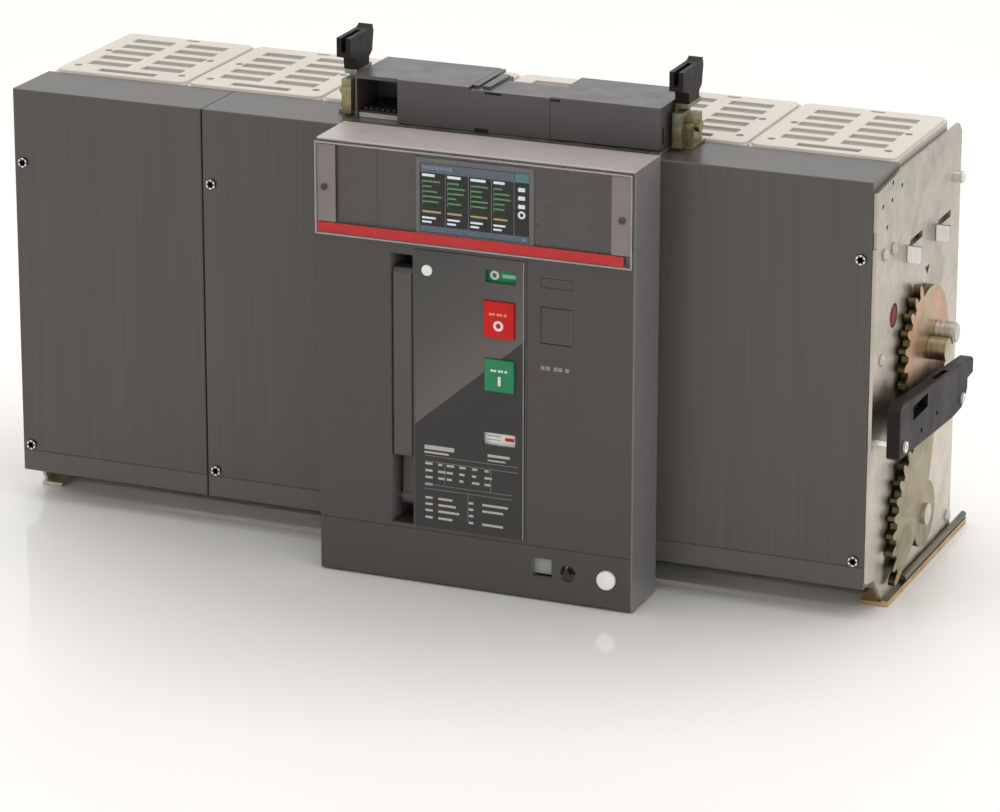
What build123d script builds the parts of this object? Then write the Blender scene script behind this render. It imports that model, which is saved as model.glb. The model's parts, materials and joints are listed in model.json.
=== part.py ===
from build123d import *
import os
from math import acos, cos, degrees, pi, radians, sin, tan

os.makedirs("parts", exist_ok=True)

# Withdrawable moving part of a three pole air circuit breaker, two arc
# chutes per pole. +X to the operator's right, -Y towards the operator,
# +Z up. The origin is on the floor, under the middle of the machine.

# ---- driving dimensions, mm ----
POLE_PITCH = 126.0
CHUTE_COUNT = 6
HALF_W = 381.0
COVER_FRONT = -100.5
COVER_REAR = -34.5
COVER_BOTTOM = 27.0
COVER_TOP = 367.0
COVER_WALL = 3.0
COVER_SEAMS = (-204.0, -66.0, 196.0)
SCREW_INSET = 8.5
SCREW_LEVELS = (51.0, 303.5)

SHIELD_X0 = -73.0
SHIELD_X1 = 203.5
SHIELD_FRONT = -156.5
SHIELD_REAR = -100.9
SHIELD_BOTTOM = 1.0
SHIELD_TOP = 370.5
SHIELD_WALL = 3.0
FRONT_LIMIT = -161.5
REAR_LIMIT = 161.5
DISPLAY_BAND_Z = 291.0
STRIP_SEAM_Z = 46.5

FACIA_X = (13.5, 110.0)
FACIA_Z = (50.0, 287.0)
FACIA_FRONT = -157.2
FACIA_BACK = -154.7
OFF_BUTTON = (74.4, 101.7, 220.0, 251.3)
ON_BUTTON = (75.4, 101.8, 174.5, 202.5)
STATE_WINDOW = (76.0, 102.5, 266.0, 276.8)
SPRING_WINDOW = (74.0, 102.0, 128.0, 139.0)
RESET_BUTTON = (123.6, 151.0, 220.0, 251.0)
BLANK_OUTLINE = (123.6, 151.0, 267.0, 275.5)
LEVER_SLOT = (-8.0, 12.0, 50.6, 281.0)
POSITION_WINDOW = (116.7, 134.0, 21.0, 36.7)
CRANK_X = 148.0
CRANK_Z = 26.5
CRANK_HOLE_R = 7.0
RELEASE_X = 182.0
RELEASE_Z = 26.3
RELEASE_R = 8.0
BUTTON_GAP = 0.4

PLATE_IN = 381.2
PLATE_T = 3.0
PLATE_OUT = PLATE_IN + PLATE_T
PLATE_FRONT = -98.5
LEFT_PLATE_FRONT = -88.0
PLATE_REAR = 127.5
PLATE_TOP = 362.0
RAIL_T = 3.0
RAIL_OUT = 390.0
RAIL_FRONT = -60.5
RAIL_REAR = 158.0
LEFT_RAIL_FRONT = -10.5
ROD_FRONT = -12.0

GEAR_MODULE = 4.5
UPPER_TEETH = 28
LOWER_TEETH = 36
GEAR_Y = 27.0
LOWER_GEAR_Z = 52.0
UPPER_GEAR_Z = LOWER_GEAR_Z + GEAR_MODULE * (UPPER_TEETH + LOWER_TEETH) / 2
GEAR_IN = PLATE_OUT + 2.0
GEAR_T = 6.0
GEAR_OUT = GEAR_IN + GEAR_T
RACKING_R = 9.0
AXLE_R = 7.0
RUNNING_GAP = 0.05
PIN_RADIUS = 9.2
PIN_REACH = 410.0
PIN_ORBIT = 20.4
PIN_ANGLE = 26.0

POLE_Y0 = -33.5
POLE_Y1 = 126.0
POLE_Z0 = 76.0
POLE_Z1 = 326.0
POLE_WALL = 5.0
CHUTE_Z0 = 326.6
CHUTE_Z1 = 369.0
CHUTE_Y0 = -34.0
CHUTE_Y1 = 110.5
CHUTE_HALF = 62.7
CHUTE_WALL = 3.0

CONTACT_Y = 48.0
CONTACT_Z = 140.0
CONTACT_OPEN = 14.0
UPPER_TERMINAL_Z = 250.0
POLE_SHAFT_Y = -62.0
POLE_SHAFT_Z = 150.0
POLE_SHAFT_R = 13.0
CHARGE_Y = -78.0
CHARGE_Z = 235.0
CHARGE_R = 10.0
FRAME_X = (-50.0, 66.0)
FRAME_T = 4.0

BOX_Z0 = 370.8
BOX_Z1 = 407.0
BOX_FRONT = -90.5
BOX_REAR = -21.5

BAR_IN = 397.0
BAR_OUT = 407.8


# ---- small helpers ----
def block(x0, x1, y0, y1, z0, z1, mode=Mode.ADD):
    """A box between two corners."""
    with Locations(((x0 + x1) / 2, (y0 + y1) / 2, (z0 + z1) / 2)):
        Box(x1 - x0, y1 - y0, z1 - z0, mode=mode)


def rod_x(x0, x1, y, z, radius, mode=Mode.ADD):
    """A round bar along X."""
    with BuildSketch(Plane.YZ.offset(x0)) as profile:
        with Locations((y, z)):
            Circle(radius)
    extrude(profile.sketch, amount=x1 - x0, mode=mode)


def rod_y(x, y0, y1, z, radius, mode=Mode.ADD):
    """A round bar along Y."""
    with BuildSketch(Plane.XZ.offset(-y1)) as profile:
        with Locations((x, z)):
            Circle(radius)
    extrude(profile.sketch, amount=y1 - y0, mode=mode)


def rod_z(x, y, z0, z1, radius, mode=Mode.ADD):
    """A round bar along Z."""
    with BuildSketch(Plane.XY.offset(z0)) as profile:
        with Locations((x, y)):
            Circle(radius)
    extrude(profile.sketch, amount=z1 - z0, mode=mode)


def hex_y(x, y0, y1, z, across, mode=Mode.ADD):
    """A hexagonal bar along Y."""
    with BuildSketch(Plane.XZ.offset(-y1)) as profile:
        with Locations((x, z)):
            RegularPolygon(radius=across / 2, side_count=6, major_radius=False)
    extrude(profile.sketch, amount=y1 - y0, mode=mode)


def plate_x(x0, x1, points, mode=Mode.ADD):
    """A flat plate across X whose outline is given as (y, z) points."""
    with BuildSketch(Plane.YZ.offset(x0)) as profile:
        with BuildLine():
            Polyline(*points, close=True)
        make_face()
    extrude(profile.sketch, amount=x1 - x0, mode=mode)


def chute_centre(index):
    """X of the middle of one arc chute."""
    return (index - (CHUTE_COUNT - 1) / 2) * POLE_PITCH


CHUTE_CENTRES = [chute_centre(index) for index in range(CHUTE_COUNT)]
POLE_CENTRES = [-2 * POLE_PITCH, 0.0, 2 * POLE_PITCH]


# ---- pole covers ----
def shaft_notch(x0, x1):
    """Open slot in the inner side returns, where the pole shaft passes."""
    reach = POLE_SHAFT_R + 2.5
    block(max(x0 - 1, 5 - HALF_W), min(x1 + 1, HALF_W - 5), POLE_SHAFT_Y - reach,
          COVER_REAR + 1, POLE_SHAFT_Z - reach, POLE_SHAFT_Z + reach, mode=Mode.SUBTRACT)


def pole_cover(x0, x1, screw_x):
    """One moulded cover: front wall, top, bottom and side returns."""
    with BuildPart() as cover:
        block(x0, x1, COVER_FRONT, COVER_REAR, COVER_BOTTOM, COVER_TOP)
        front_edges = cover.faces().sort_by(Axis.Y)[0].edges()
        fillet(front_edges, radius=1.4)
        inner = COVER_WALL
        block(x0 + inner, x1 - inner, COVER_FRONT + inner, COVER_REAR + 1,
              COVER_BOTTOM + inner, COVER_TOP - inner, mode=Mode.SUBTRACT)
        shaft_notch(x0, x1)
        block(x0 - 1, x1 + 1, COVER_FRONT - 1, COVER_FRONT + 0.7,
              COVER_BOTTOM + 18.6, COVER_BOTTOM + 19.4, mode=Mode.SUBTRACT)
        for level in SCREW_LEVELS:
            rod_y(screw_x, COVER_FRONT - 1, COVER_FRONT + 6, level, 2.7, mode=Mode.SUBTRACT)
            rod_y(screw_x, COVER_FRONT - 1, COVER_FRONT + 1.2, level, 4.6, mode=Mode.SUBTRACT)
    return cover.part


LEFT_SEAM, INNER_EDGE, RIGHT_EDGE = COVER_SEAMS
COVER_SCREWS_X = (-HALF_W + SCREW_INSET, LEFT_SEAM + SCREW_INSET, HALF_W - SCREW_INSET)
COVER_SPANS = {
    "pole_cover_left_outer": (-HALF_W, LEFT_SEAM - 0.4, COVER_SCREWS_X[0]),
    "pole_cover_left_inner": (LEFT_SEAM + 0.4, INNER_EDGE, COVER_SCREWS_X[1]),
    "pole_cover_right": (RIGHT_EDGE, HALF_W, COVER_SCREWS_X[2]),
}
for label, (left, right, screw) in COVER_SPANS.items():
    cover_part = pole_cover(left, right, screw)
    cover_part.label = label
    export_step(cover_part, f"parts/{label}.step")

with BuildPart() as cover_screws:
    for screw in COVER_SCREWS_X:
        for level in SCREW_LEVELS:
            rod_y(screw, COVER_FRONT + 1.2, COVER_FRONT + 16, level, 2.5)
            rod_y(screw, COVER_FRONT - 2.0, COVER_FRONT + 1.2, level, 3.4)
            hex_y(screw, COVER_FRONT - 2.1, COVER_FRONT - 0.2, level, 3.4, mode=Mode.SUBTRACT)
cover_screws.part.label = "cover_screws"
export_step(cover_screws.part, "parts/cover_screws.step")


# ---- arc chutes ----
SLOT_ROWS = 5
SLOT_PITCH = 21.0
SLOT_SIZE = (38.0, 12.5)
NOTCH_SIZE = (54.0, 9.0)
SLOT_COLUMNS = 51.0
SLOT_MID_Y = 42.5
CHUTE_SCREWS = ((-49.5, -12.0), (49.5, -12.0), (-49.0, 44.0), (49.0, 44.0))
CHUTE_SCREW_R = 3.4


def arc_chute(mid):
    """Ventilated cap of one arc chamber, hollow and open below."""
    with BuildPart() as chute:
        block(mid - CHUTE_HALF, mid + CHUTE_HALF, CHUTE_Y0, CHUTE_Y1, CHUTE_Z0, CHUTE_Z1 - 2.5)
        fillet(chute.edges().filter_by(Axis.Z), radius=6.0)
        with BuildSketch(Plane.XY.offset(CHUTE_Z1 - 2.5)):
            with Locations((mid, (CHUTE_Y0 + CHUTE_Y1) / 2)):
                RectangleRounded(2 * CHUTE_HALF - 3, CHUTE_Y1 - CHUTE_Y0 - 4, 7.0)
        extrude(amount=2.5)
        fillet(chute.faces().sort_by(Axis.Z)[-1].edges(), radius=1.2)
        block(mid - CHUTE_HALF + CHUTE_WALL, mid + CHUTE_HALF - CHUTE_WALL,
              CHUTE_Y0 + CHUTE_WALL, CHUTE_Y1 - CHUTE_WALL,
              CHUTE_Z0 - 1, CHUTE_Z1 - 6, mode=Mode.SUBTRACT)
        with BuildSketch(Plane.XY.offset(CHUTE_Z1 - 7)):
            with Locations((mid, SLOT_MID_Y)):
                with GridLocations(SLOT_COLUMNS, SLOT_PITCH, 2, SLOT_ROWS):
                    RectangleRounded(SLOT_SIZE[0], SLOT_SIZE[1], 1.2)
            with Locations((mid + 2, -20.5)):
                RectangleRounded(*NOTCH_SIZE, 1.0)
            with Locations((mid + 4, 102.0)):
                RectangleRounded(12.0, 4.0, 1.0)
            with Locations(*[(mid + dx, y) for dx, y in CHUTE_SCREWS]):
                Circle(CHUTE_SCREW_R)
        extrude(amount=9, mode=Mode.SUBTRACT)
    return chute.part


for number, mid_x in enumerate(CHUTE_CENTRES, start=1):
    chute_part = arc_chute(mid_x)
    chute_part.label = f"arc_chute_{number}"
    export_step(chute_part, f"parts/arc_chute_{number}.step")

with BuildPart() as arc_chute_screws:
    for mid_x in CHUTE_CENTRES:
        for dx, y in CHUTE_SCREWS:
            rod_z(mid_x + dx, y, POLE_Z1 + 0.4, CHUTE_Z1 - 2.2, CHUTE_SCREW_R - 0.2)
            with BuildSketch(Plane.XY.offset(CHUTE_Z1 - 4.5)):
                with Locations((mid_x + dx, y)):
                    RegularPolygon(radius=1.9, side_count=6)
            extrude(amount=3, mode=Mode.SUBTRACT)
arc_chute_screws.part.label = "arc_chute_screws"
export_step(arc_chute_screws.part, "parts/arc_chute_screws.step")

SPLITTER_COUNT = 8
SPLITTER_PITCH = 13.0
with BuildPart() as arc_splitter_plates:
    for mid_x in CHUTE_CENTRES:
        for row in range(SPLITTER_COUNT):
            plate_y = SPLITTER_PITCH * row - 2.0
            block(mid_x - 46, mid_x + 46, plate_y, plate_y + 2, 292, 361)
            block(mid_x - 9, mid_x + 9, plate_y - 1, plate_y + 3, 291, 322, mode=Mode.SUBTRACT)
arc_splitter_plates.part.label = "arc_splitter_plates"
export_step(arc_splitter_plates.part, "parts/arc_splitter_plates.step")


# ---- pole units ----
CHAMBER_HALF = POLE_PITCH / 2 - 6.0
UNIT_HALF = POLE_PITCH - 0.4
BEARING_HALF = 6.0
BEARING_NOSE = -80.0


def pole_unit(centre):
    """Insulating case with two contact chambers, open in front and above."""
    with BuildPart() as unit:
        block(centre - UNIT_HALF, centre + UNIT_HALF, POLE_Y0, POLE_Y1, POLE_Z0, POLE_Z1)
        for side in (-1, 1):
            mid = centre + side * POLE_PITCH / 2
            block(mid - CHAMBER_HALF, mid + CHAMBER_HALF, POLE_Y0 - 1, POLE_Y1 - POLE_WALL,
                  POLE_Z0 + POLE_WALL, POLE_Z1 + 1, mode=Mode.SUBTRACT)
            for level in (CONTACT_Z, UPPER_TERMINAL_Z):
                block(mid - 46.5, mid + 46.5, POLE_Y1 - 10, POLE_Y1 + 1,
                      level - 8.5, level + 8.5, mode=Mode.SUBTRACT)
        bearing = (centre - BEARING_HALF, centre + BEARING_HALF)
        block(*bearing, BEARING_NOSE, POLE_Y0 + 1, POLE_SHAFT_Z - 20, POLE_SHAFT_Z + 20)
        rod_x(centre - UNIT_HALF - 1, centre + UNIT_HALF + 1, CONTACT_Y, CONTACT_Z,
              4 + RUNNING_GAP, mode=Mode.SUBTRACT)
        rod_x(*bearing, POLE_SHAFT_Y, POLE_SHAFT_Z, POLE_SHAFT_R + RUNNING_GAP,
              mode=Mode.SUBTRACT)
    return unit.part


for number, centre_x in enumerate(POLE_CENTRES, start=1):
    unit_part = pole_unit(centre_x)
    unit_part.label = f"pole_unit_{number}"
    export_step(unit_part, f"parts/pole_unit_{number}.step")

BLADE_HALF = 46.0
BLADE_T = 16.0
FIXED_FACE_Y = CONTACT_Y + 10.3


def terminal_blade(mid, y0, level):
    """Flat copper bar with a chamfered plug-in edge at the rear."""
    z0 = level - BLADE_T / 2
    z1 = level + BLADE_T / 2
    nose = 5.0
    plate_x(mid - BLADE_HALF, mid + BLADE_HALF, (
        (y0, z0), (REAR_LIMIT - 2 * nose, z0), (REAR_LIMIT, z0 + nose),
        (REAR_LIMIT, z1 - nose), (REAR_LIMIT - 2 * nose, z1), (y0, z1)))


with BuildPart() as upper_terminals:
    for mid_x in CHUTE_CENTRES:
        terminal_blade(mid_x, FIXED_FACE_Y + 6, UPPER_TERMINAL_Z)
        block(mid_x - BLADE_HALF, mid_x + BLADE_HALF, FIXED_FACE_Y + 2, FIXED_FACE_Y + 16,
              UPPER_TERMINAL_Z - 14, UPPER_TERMINAL_Z + 14)
        block(mid_x - 42, mid_x + 42, FIXED_FACE_Y, FIXED_FACE_Y + 2,
              UPPER_TERMINAL_Z - 9, UPPER_TERMINAL_Z + 9)
upper_terminals.part.label = "upper_terminals"
export_step(upper_terminals.part, "parts/upper_terminals.step")

with BuildPart() as lower_terminals:
    for mid_x in CHUTE_CENTRES:
        terminal_blade(mid_x, CONTACT_Y + 4, CONTACT_Z)
        rod_x(mid_x - BLADE_HALF - 1, mid_x + BLADE_HALF + 1, CONTACT_Y, CONTACT_Z, 11.4,
              mode=Mode.SUBTRACT)
lower_terminals.part.label = "lower_terminals"
export_step(lower_terminals.part, "parts/lower_terminals.step")

with BuildPart() as current_transformers:
    for mid_x in CHUTE_CENTRES:
        block(mid_x - 55, mid_x + 55, 88, 112, 112, 168)
        block(mid_x - 46.6, mid_x + 46.6, 87, 113, CONTACT_Z - 8.6, CONTACT_Z + 8.6,
              mode=Mode.SUBTRACT)
current_transformers.part.label = "current_transformers"
export_step(current_transformers.part, "parts/current_transformers.step")


# ---- moving contacts and the pole shaft ----
LEAN = radians(CONTACT_OPEN)
FINGER_LENGTH = 118.0
FINGER_HALF = 8.0
FINGER_T = 11.0
FINGER_PITCH = 20.0
LINK_REACH = 70.0


def leaning_plane(x):
    """Side plane of a contact finger, leaned forward by the open angle."""
    return Plane(origin=(x, CONTACT_Y, CONTACT_Z), x_dir=(0, cos(LEAN), sin(LEAN)),
                 z_dir=(1, 0, 0))


def contact_finger(x):
    """One copper finger with its silver tip, drawn in its own leaning plane."""
    with BuildSketch(leaning_plane(x - FINGER_T / 2)) as profile:
        with BuildLine():
            Polyline((-FINGER_HALF, 0), (FINGER_HALF, 0), (FINGER_HALF - 1, 98),
                     (10, 100), (10, FINGER_LENGTH), (-2, FINGER_LENGTH + 8),
                     (-FINGER_HALF, FINGER_LENGTH), close=True)
        make_face()
    extrude(profile.sketch, amount=FINGER_T)


def drag_link(x):
    """Insulating drive link, from the fingers forward to the pole shaft."""
    with BuildSketch(leaning_plane(x - 5)) as profile:
        with BuildLine():
            Polyline((-6, 64), (-6, 44), (-LINK_REACH + 4, 4), (-LINK_REACH, 16),
                     (-20, 64), close=True)
        make_face()
    extrude(profile.sketch, amount=10)


with BuildPart() as moving_contacts:
    for mid_x in CHUTE_CENTRES:
        for step in range(-2, 3):
            contact_finger(mid_x + step * FINGER_PITCH)
        rod_x(mid_x - 50, mid_x + 50, CONTACT_Y, CONTACT_Z, 11.0)
        rod_x(mid_x - 60, mid_x + 60, CONTACT_Y, CONTACT_Z, 4.0)
        with BuildSketch(leaning_plane(mid_x - 48)):
            with Locations((-12, 54)):
                Rectangle(10, 22)
        extrude(amount=96)
        for side in (-30, 30):
            drag_link(mid_x + side)
moving_contacts.part.label = "moving_contacts"
export_step(moving_contacts.part, "parts/moving_contacts.step")

CRANK_ARM = 34.0
with BuildPart() as pole_shaft:
    rod_x(-376, 376, POLE_SHAFT_Y, POLE_SHAFT_Z, POLE_SHAFT_R)
    for mid_x in CHUTE_CENTRES:
        for side in (-30, 30):
            lever_plane = Plane(origin=(mid_x + side - 7, POLE_SHAFT_Y, POLE_SHAFT_Z),
                                x_dir=(0, cos(LEAN), -sin(LEAN)), z_dir=(1, 0, 0))
            with BuildSketch(lever_plane):
                SlotCenterToCenter(CRANK_ARM - 8, 16)
            extrude(amount=14)
pole_shaft.part.label = "pole_shaft"
export_step(pole_shaft.part, "parts/pole_shaft.step")


# ---- side plates and runners ----
LIFTING_SLOTS = ((-9.5, 23.5, 290.3, 296.3), (66.0, 101.5, 286.8, 292.8))
TABS = ((-17.0, 279.5), (61.0, 276.5))
TAB_SIZE = (12.0, 14.0)
SMALL_HOLES = ((-59.5, 357.0), (-35.5, 349.0), (-60.5, 343.0), (-84.0, 343.5), (-72.0, 323.5))
INSPECTION_HOLE = (-48.5, 244.0)
BAR_SCREWS = ((-86.0, 148.0), (72.0, 140.5))
PLATE_CORNER = 27.0


def plate_outline(front):
    """Outline of a side plate whose front edge stands at the given Y."""
    return ((front, 32.0), (front + 16, RAIL_T + PLATE_CORNER), (RAIL_FRONT + 3, RAIL_T),
            (PLATE_REAR, RAIL_T), (PLATE_REAR, PLATE_TOP - 8), (PLATE_REAR - 8, PLATE_TOP),
            (-40.0, PLATE_TOP), (front, PLATE_TOP - 4))


def bent_tab(outward, y0, z0):
    """Tab cut out of the plate and bent square to it, with the hole it leaves behind."""
    reach, height = TAB_SIZE
    face = sorted((outward * (PLATE_IN - 1), outward * (PLATE_OUT + 1)))
    block(*face, y0 + PLATE_T, y0 + PLATE_T + reach, z0, z0 + height, mode=Mode.SUBTRACT)
    tab = sorted((outward * (PLATE_OUT - 1), outward * (PLATE_OUT + reach)))
    block(*tab, y0, y0 + PLATE_T, z0, z0 + height)


def side_plate(x0, outward, front):
    """Pressed steel side with two lifting slots and two tabs bent outwards."""
    through = (x0 - 1, x0 + PLATE_T + 1)
    with BuildPart() as plate:
        plate_x(x0, x0 + PLATE_T, plate_outline(front))
        for y0, y1, z0, z1 in LIFTING_SLOTS:
            block(*through, y0, y1, z0, z1, mode=Mode.SUBTRACT)
        for y, z in SMALL_HOLES:
            rod_x(*through, y, z, 2.0, mode=Mode.SUBTRACT)
        rod_x(*through, *INSPECTION_HOLE, 10.0, mode=Mode.SUBTRACT)
        rod_x(*through, GEAR_Y, LOWER_GEAR_Z, RACKING_R + RUNNING_GAP, mode=Mode.SUBTRACT)
        rod_x(*through, GEAR_Y, UPPER_GEAR_Z, AXLE_R, mode=Mode.SUBTRACT)
        block(*through, front - 1, front + 1.3, 312, 326, mode=Mode.SUBTRACT)
        for y0, z0 in TABS:
            bent_tab(outward, y0, z0)
    return plate.part


right_plate = side_plate(PLATE_IN, 1, PLATE_FRONT)
right_plate.label = "side_plate_right"
export_step(right_plate, "parts/side_plate_right.step")
left_plate = side_plate(-PLATE_OUT, -1, LEFT_PLATE_FRONT)
left_plate.label = "side_plate_left"
export_step(left_plate, "parts/side_plate_left.step")


LIP_TOP = 5.0
ROD_R = 2.8


def rail(sign, outer_front):
    """Runner: inner foot under the plate, outer flange, lip and round wear rod."""
    inner = sorted((sign * 366, sign * (PLATE_OUT + 1)))
    outer = sorted((sign * PLATE_OUT, sign * RAIL_OUT))
    lip = sorted((sign * (RAIL_OUT - 2 * ROD_R), sign * RAIL_OUT))
    with BuildPart() as runner:
        block(*inner, RAIL_FRONT, RAIL_REAR - 30, 0, RAIL_T)
        block(*outer, outer_front, RAIL_REAR, 0, RAIL_T)
        block(*lip, outer_front, RAIL_REAR, RAIL_T - 1, LIP_TOP)
        rod_y(sign * (RAIL_OUT - ROD_R), ROD_FRONT, RAIL_REAR, LIP_TOP + ROD_R - 0.5, ROD_R)
    return runner.part


for label, sign, start in (("rail_right", 1, RAIL_FRONT), ("rail_left", -1, LEFT_RAIL_FRONT)):
    rail_part = rail(sign, start)
    rail_part.label = label
    export_step(rail_part, f"parts/{label}.step")

with BuildPart() as base_cross_rails:
    block(-PLATE_IN + 0.2, PLATE_IN - 0.2, -32, -4, RAIL_T + 0.1, 15)
    block(-PLATE_IN + 3, PLATE_IN - 3, -29, -7, RAIL_T - 1, 12, mode=Mode.SUBTRACT)
    block(-PLATE_IN + 0.2, PLATE_IN - 0.2, 92, 122, RAIL_T + 0.1, 27)
    block(-PLATE_IN + 3, PLATE_IN - 3, 95, 119, RAIL_T - 1, 24, mode=Mode.SUBTRACT)
base_cross_rails.part.label = "base_cross_rails"
export_step(base_cross_rails.part, "parts/base_cross_rails.step")

RIVETS = ((-76.5, 302.0), (-53.5, 301.0), (-78.0, 215.0), (59.5, 59.0), (117.5, 19.0),
          (-61.8, 42.5))
REAR_STUD = (119.0, 316.5)
STUD_LENGTH = 5.5
with BuildPart() as side_plate_fasteners:
    for sign in (-1, 1):
        for y, z in RIVETS:
            face = sorted((sign * PLATE_OUT, sign * (PLATE_OUT + 1.6)))
            rod_x(*face, y, z, 4.6)
        rod_x(*sorted((sign * PLATE_OUT, sign * (PLATE_OUT + STUD_LENGTH))), *REAR_STUD, 5.0)
    for y, z in BAR_SCREWS:
        rod_x(PLATE_OUT, BAR_OUT + 1, y, z, 3.0)
        rod_x(BAR_OUT + 0.1, BAR_OUT + 2.0, y, z, 4.6)
side_plate_fasteners.part.label = "side_plate_fasteners"
export_step(side_plate_fasteners.part, "parts/side_plate_fasteners.step")

AXLE_HEAD_R = 9.6
AXLE_HEAD_OUT = 408.0
with BuildPart() as gear_axles:
    for sign in (-1, 1):
        rod_x(*sorted((sign * (PLATE_IN - 3), sign * (GEAR_OUT + 1))), GEAR_Y, UPPER_GEAR_Z,
              AXLE_R)
        rod_x(*sorted((sign * (GEAR_OUT + 0.3), sign * AXLE_HEAD_OUT)), GEAR_Y, UPPER_GEAR_Z,
              AXLE_HEAD_R)
gear_axles.part.label = "gear_axles"
export_step(gear_axles.part, "parts/gear_axles.step")


# ---- racking gears ----
PRESSURE_ANGLE = radians(20)
ADDENDUM = 4.2
DEDENDUM = 5.4
BACKLASH = 0.35
UPPER_SECTOR = (9.0, 14)
LOWER_SECTOR = (7.5, 14)


def flank_half_angle(radius, teeth):
    """Half of the tooth's angle at a radius, on an involute flank, in degrees."""
    pitch_r = GEAR_MODULE * teeth / 2
    base = pitch_r * cos(PRESSURE_ANGLE)
    roll = acos(min(1.0, base / max(radius, base)))
    drop = (tan(roll) - roll) - (tan(PRESSURE_ANGLE) - PRESSURE_ANGLE)
    half = (pi / (2 * teeth)) - BACKLASH / (2 * pitch_r)
    return degrees(half - drop)


def tooth_outline(angle, teeth):
    """Points of one tooth, from its lower root to its upper root."""
    pitch_r = GEAR_MODULE * teeth / 2
    radii = [pitch_r - DEDENDUM, pitch_r - 2.5, pitch_r, pitch_r + 2.2, pitch_r + ADDENDUM]
    rising = [(radius, angle - flank_half_angle(radius, teeth)) for radius in radii]
    falling = [(radius, angle + flank_half_angle(radius, teeth)) for radius in reversed(radii)]
    return rising + falling


def toothed_sector(sector, teeth, level):
    """(y, z) points of a toothed sector, from its first tooth, counted in steps, onwards."""
    first, count = sector
    points = []
    for index in range(count):
        for radius, degree in tooth_outline((first + index) * 360 / teeth, teeth):
            turn = radians(degree)
            points.append((GEAR_Y + radius * cos(turn), level + radius * sin(turn)))
    return points


def gear_plate(x0, level, points, smooth_r, hub_r, pin_sign):
    """One racking gear: plain disc, toothed sector, bore and, above, the drive pin."""
    with BuildPart() as gear:
        with BuildSketch(Plane.YZ.offset(x0)):
            with Locations((GEAR_Y, level)):
                Circle(smooth_r)
            with BuildLine():
                Polyline((GEAR_Y, level), *points, close=True)
            make_face()
            with Locations((GEAR_Y, level)):
                Circle(hub_r, mode=Mode.SUBTRACT)
        extrude(amount=GEAR_T)
        if pin_sign:
            drive_pin(level, pin_sign)
    return gear.part


def drive_pin(level, sign):
    """Roller pin standing out of the gear, with a grooved end."""
    pin_y = GEAR_Y + PIN_ORBIT * cos(radians(PIN_ANGLE))
    pin_z = level + PIN_ORBIT * sin(radians(PIN_ANGLE))
    rod_x(*sorted((sign * (GEAR_OUT - 1), sign * PIN_REACH)), pin_y, pin_z, PIN_RADIUS - 1.6)
    for start, end in ((GEAR_OUT - 1, GEAR_OUT + 4), (GEAR_OUT + 6, PIN_REACH - 1.5)):
        rod_x(*sorted((sign * start, sign * end)), pin_y, pin_z, PIN_RADIUS)


UPPER_SMOOTH_R = 52.0
LOWER_SMOOTH_R = 28.0
upper_points = toothed_sector(UPPER_SECTOR, UPPER_TEETH, UPPER_GEAR_Z)
lower_points = toothed_sector(LOWER_SECTOR, LOWER_TEETH, LOWER_GEAR_Z)
for label, x_start, sign in (("upper_gear_right", GEAR_IN, 1), ("upper_gear_left", -GEAR_OUT, -1)):
    upper = gear_plate(x_start, UPPER_GEAR_Z, upper_points, UPPER_SMOOTH_R,
                       AXLE_R + RUNNING_GAP, sign)
    upper.label = label
    export_step(upper, f"parts/{label}.step")
for label, x_start in (("lower_gear_right", GEAR_IN), ("lower_gear_left", -GEAR_OUT)):
    lower = gear_plate(x_start, LOWER_GEAR_Z, lower_points, LOWER_SMOOTH_R, RACKING_R, 0)
    lower.label = label
    export_step(lower, f"parts/{label}.step")

WORM_TEETH = 20
WORM_WHEEL_R = 17.6
WORM_WHEEL_HALF = 7.0
with BuildPart() as racking_shaft:
    rod_x(-GEAR_OUT - 3, GEAR_OUT + 3, GEAR_Y, LOWER_GEAR_Z, RACKING_R)
    with BuildSketch(Plane.YZ.offset(CRANK_X - WORM_WHEEL_HALF)):
        with Locations((GEAR_Y, LOWER_GEAR_Z)):
            Circle(WORM_WHEEL_R)
            with PolarLocations(WORM_WHEEL_R, WORM_TEETH):
                Rectangle(2.6, 2.4, mode=Mode.SUBTRACT)
    extrude(amount=2 * WORM_WHEEL_HALF)
racking_shaft.part.label = "racking_shaft"
export_step(racking_shaft.part, "parts/racking_shaft.step")

with BuildPart() as racking_spindle:
    rod_y(CRANK_X, -128, 62, CRANK_Z, 4.5)
    hex_y(CRANK_X, -146, -128, CRANK_Z, 8.0)
    for turn in range(9):
        rod_y(CRANK_X, 5 + 5 * turn, 7.6 + 5 * turn, CRANK_Z, 6.8)
racking_spindle.part.label = "racking_spindle"
export_step(racking_spindle.part, "parts/racking_spindle.step")


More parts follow.
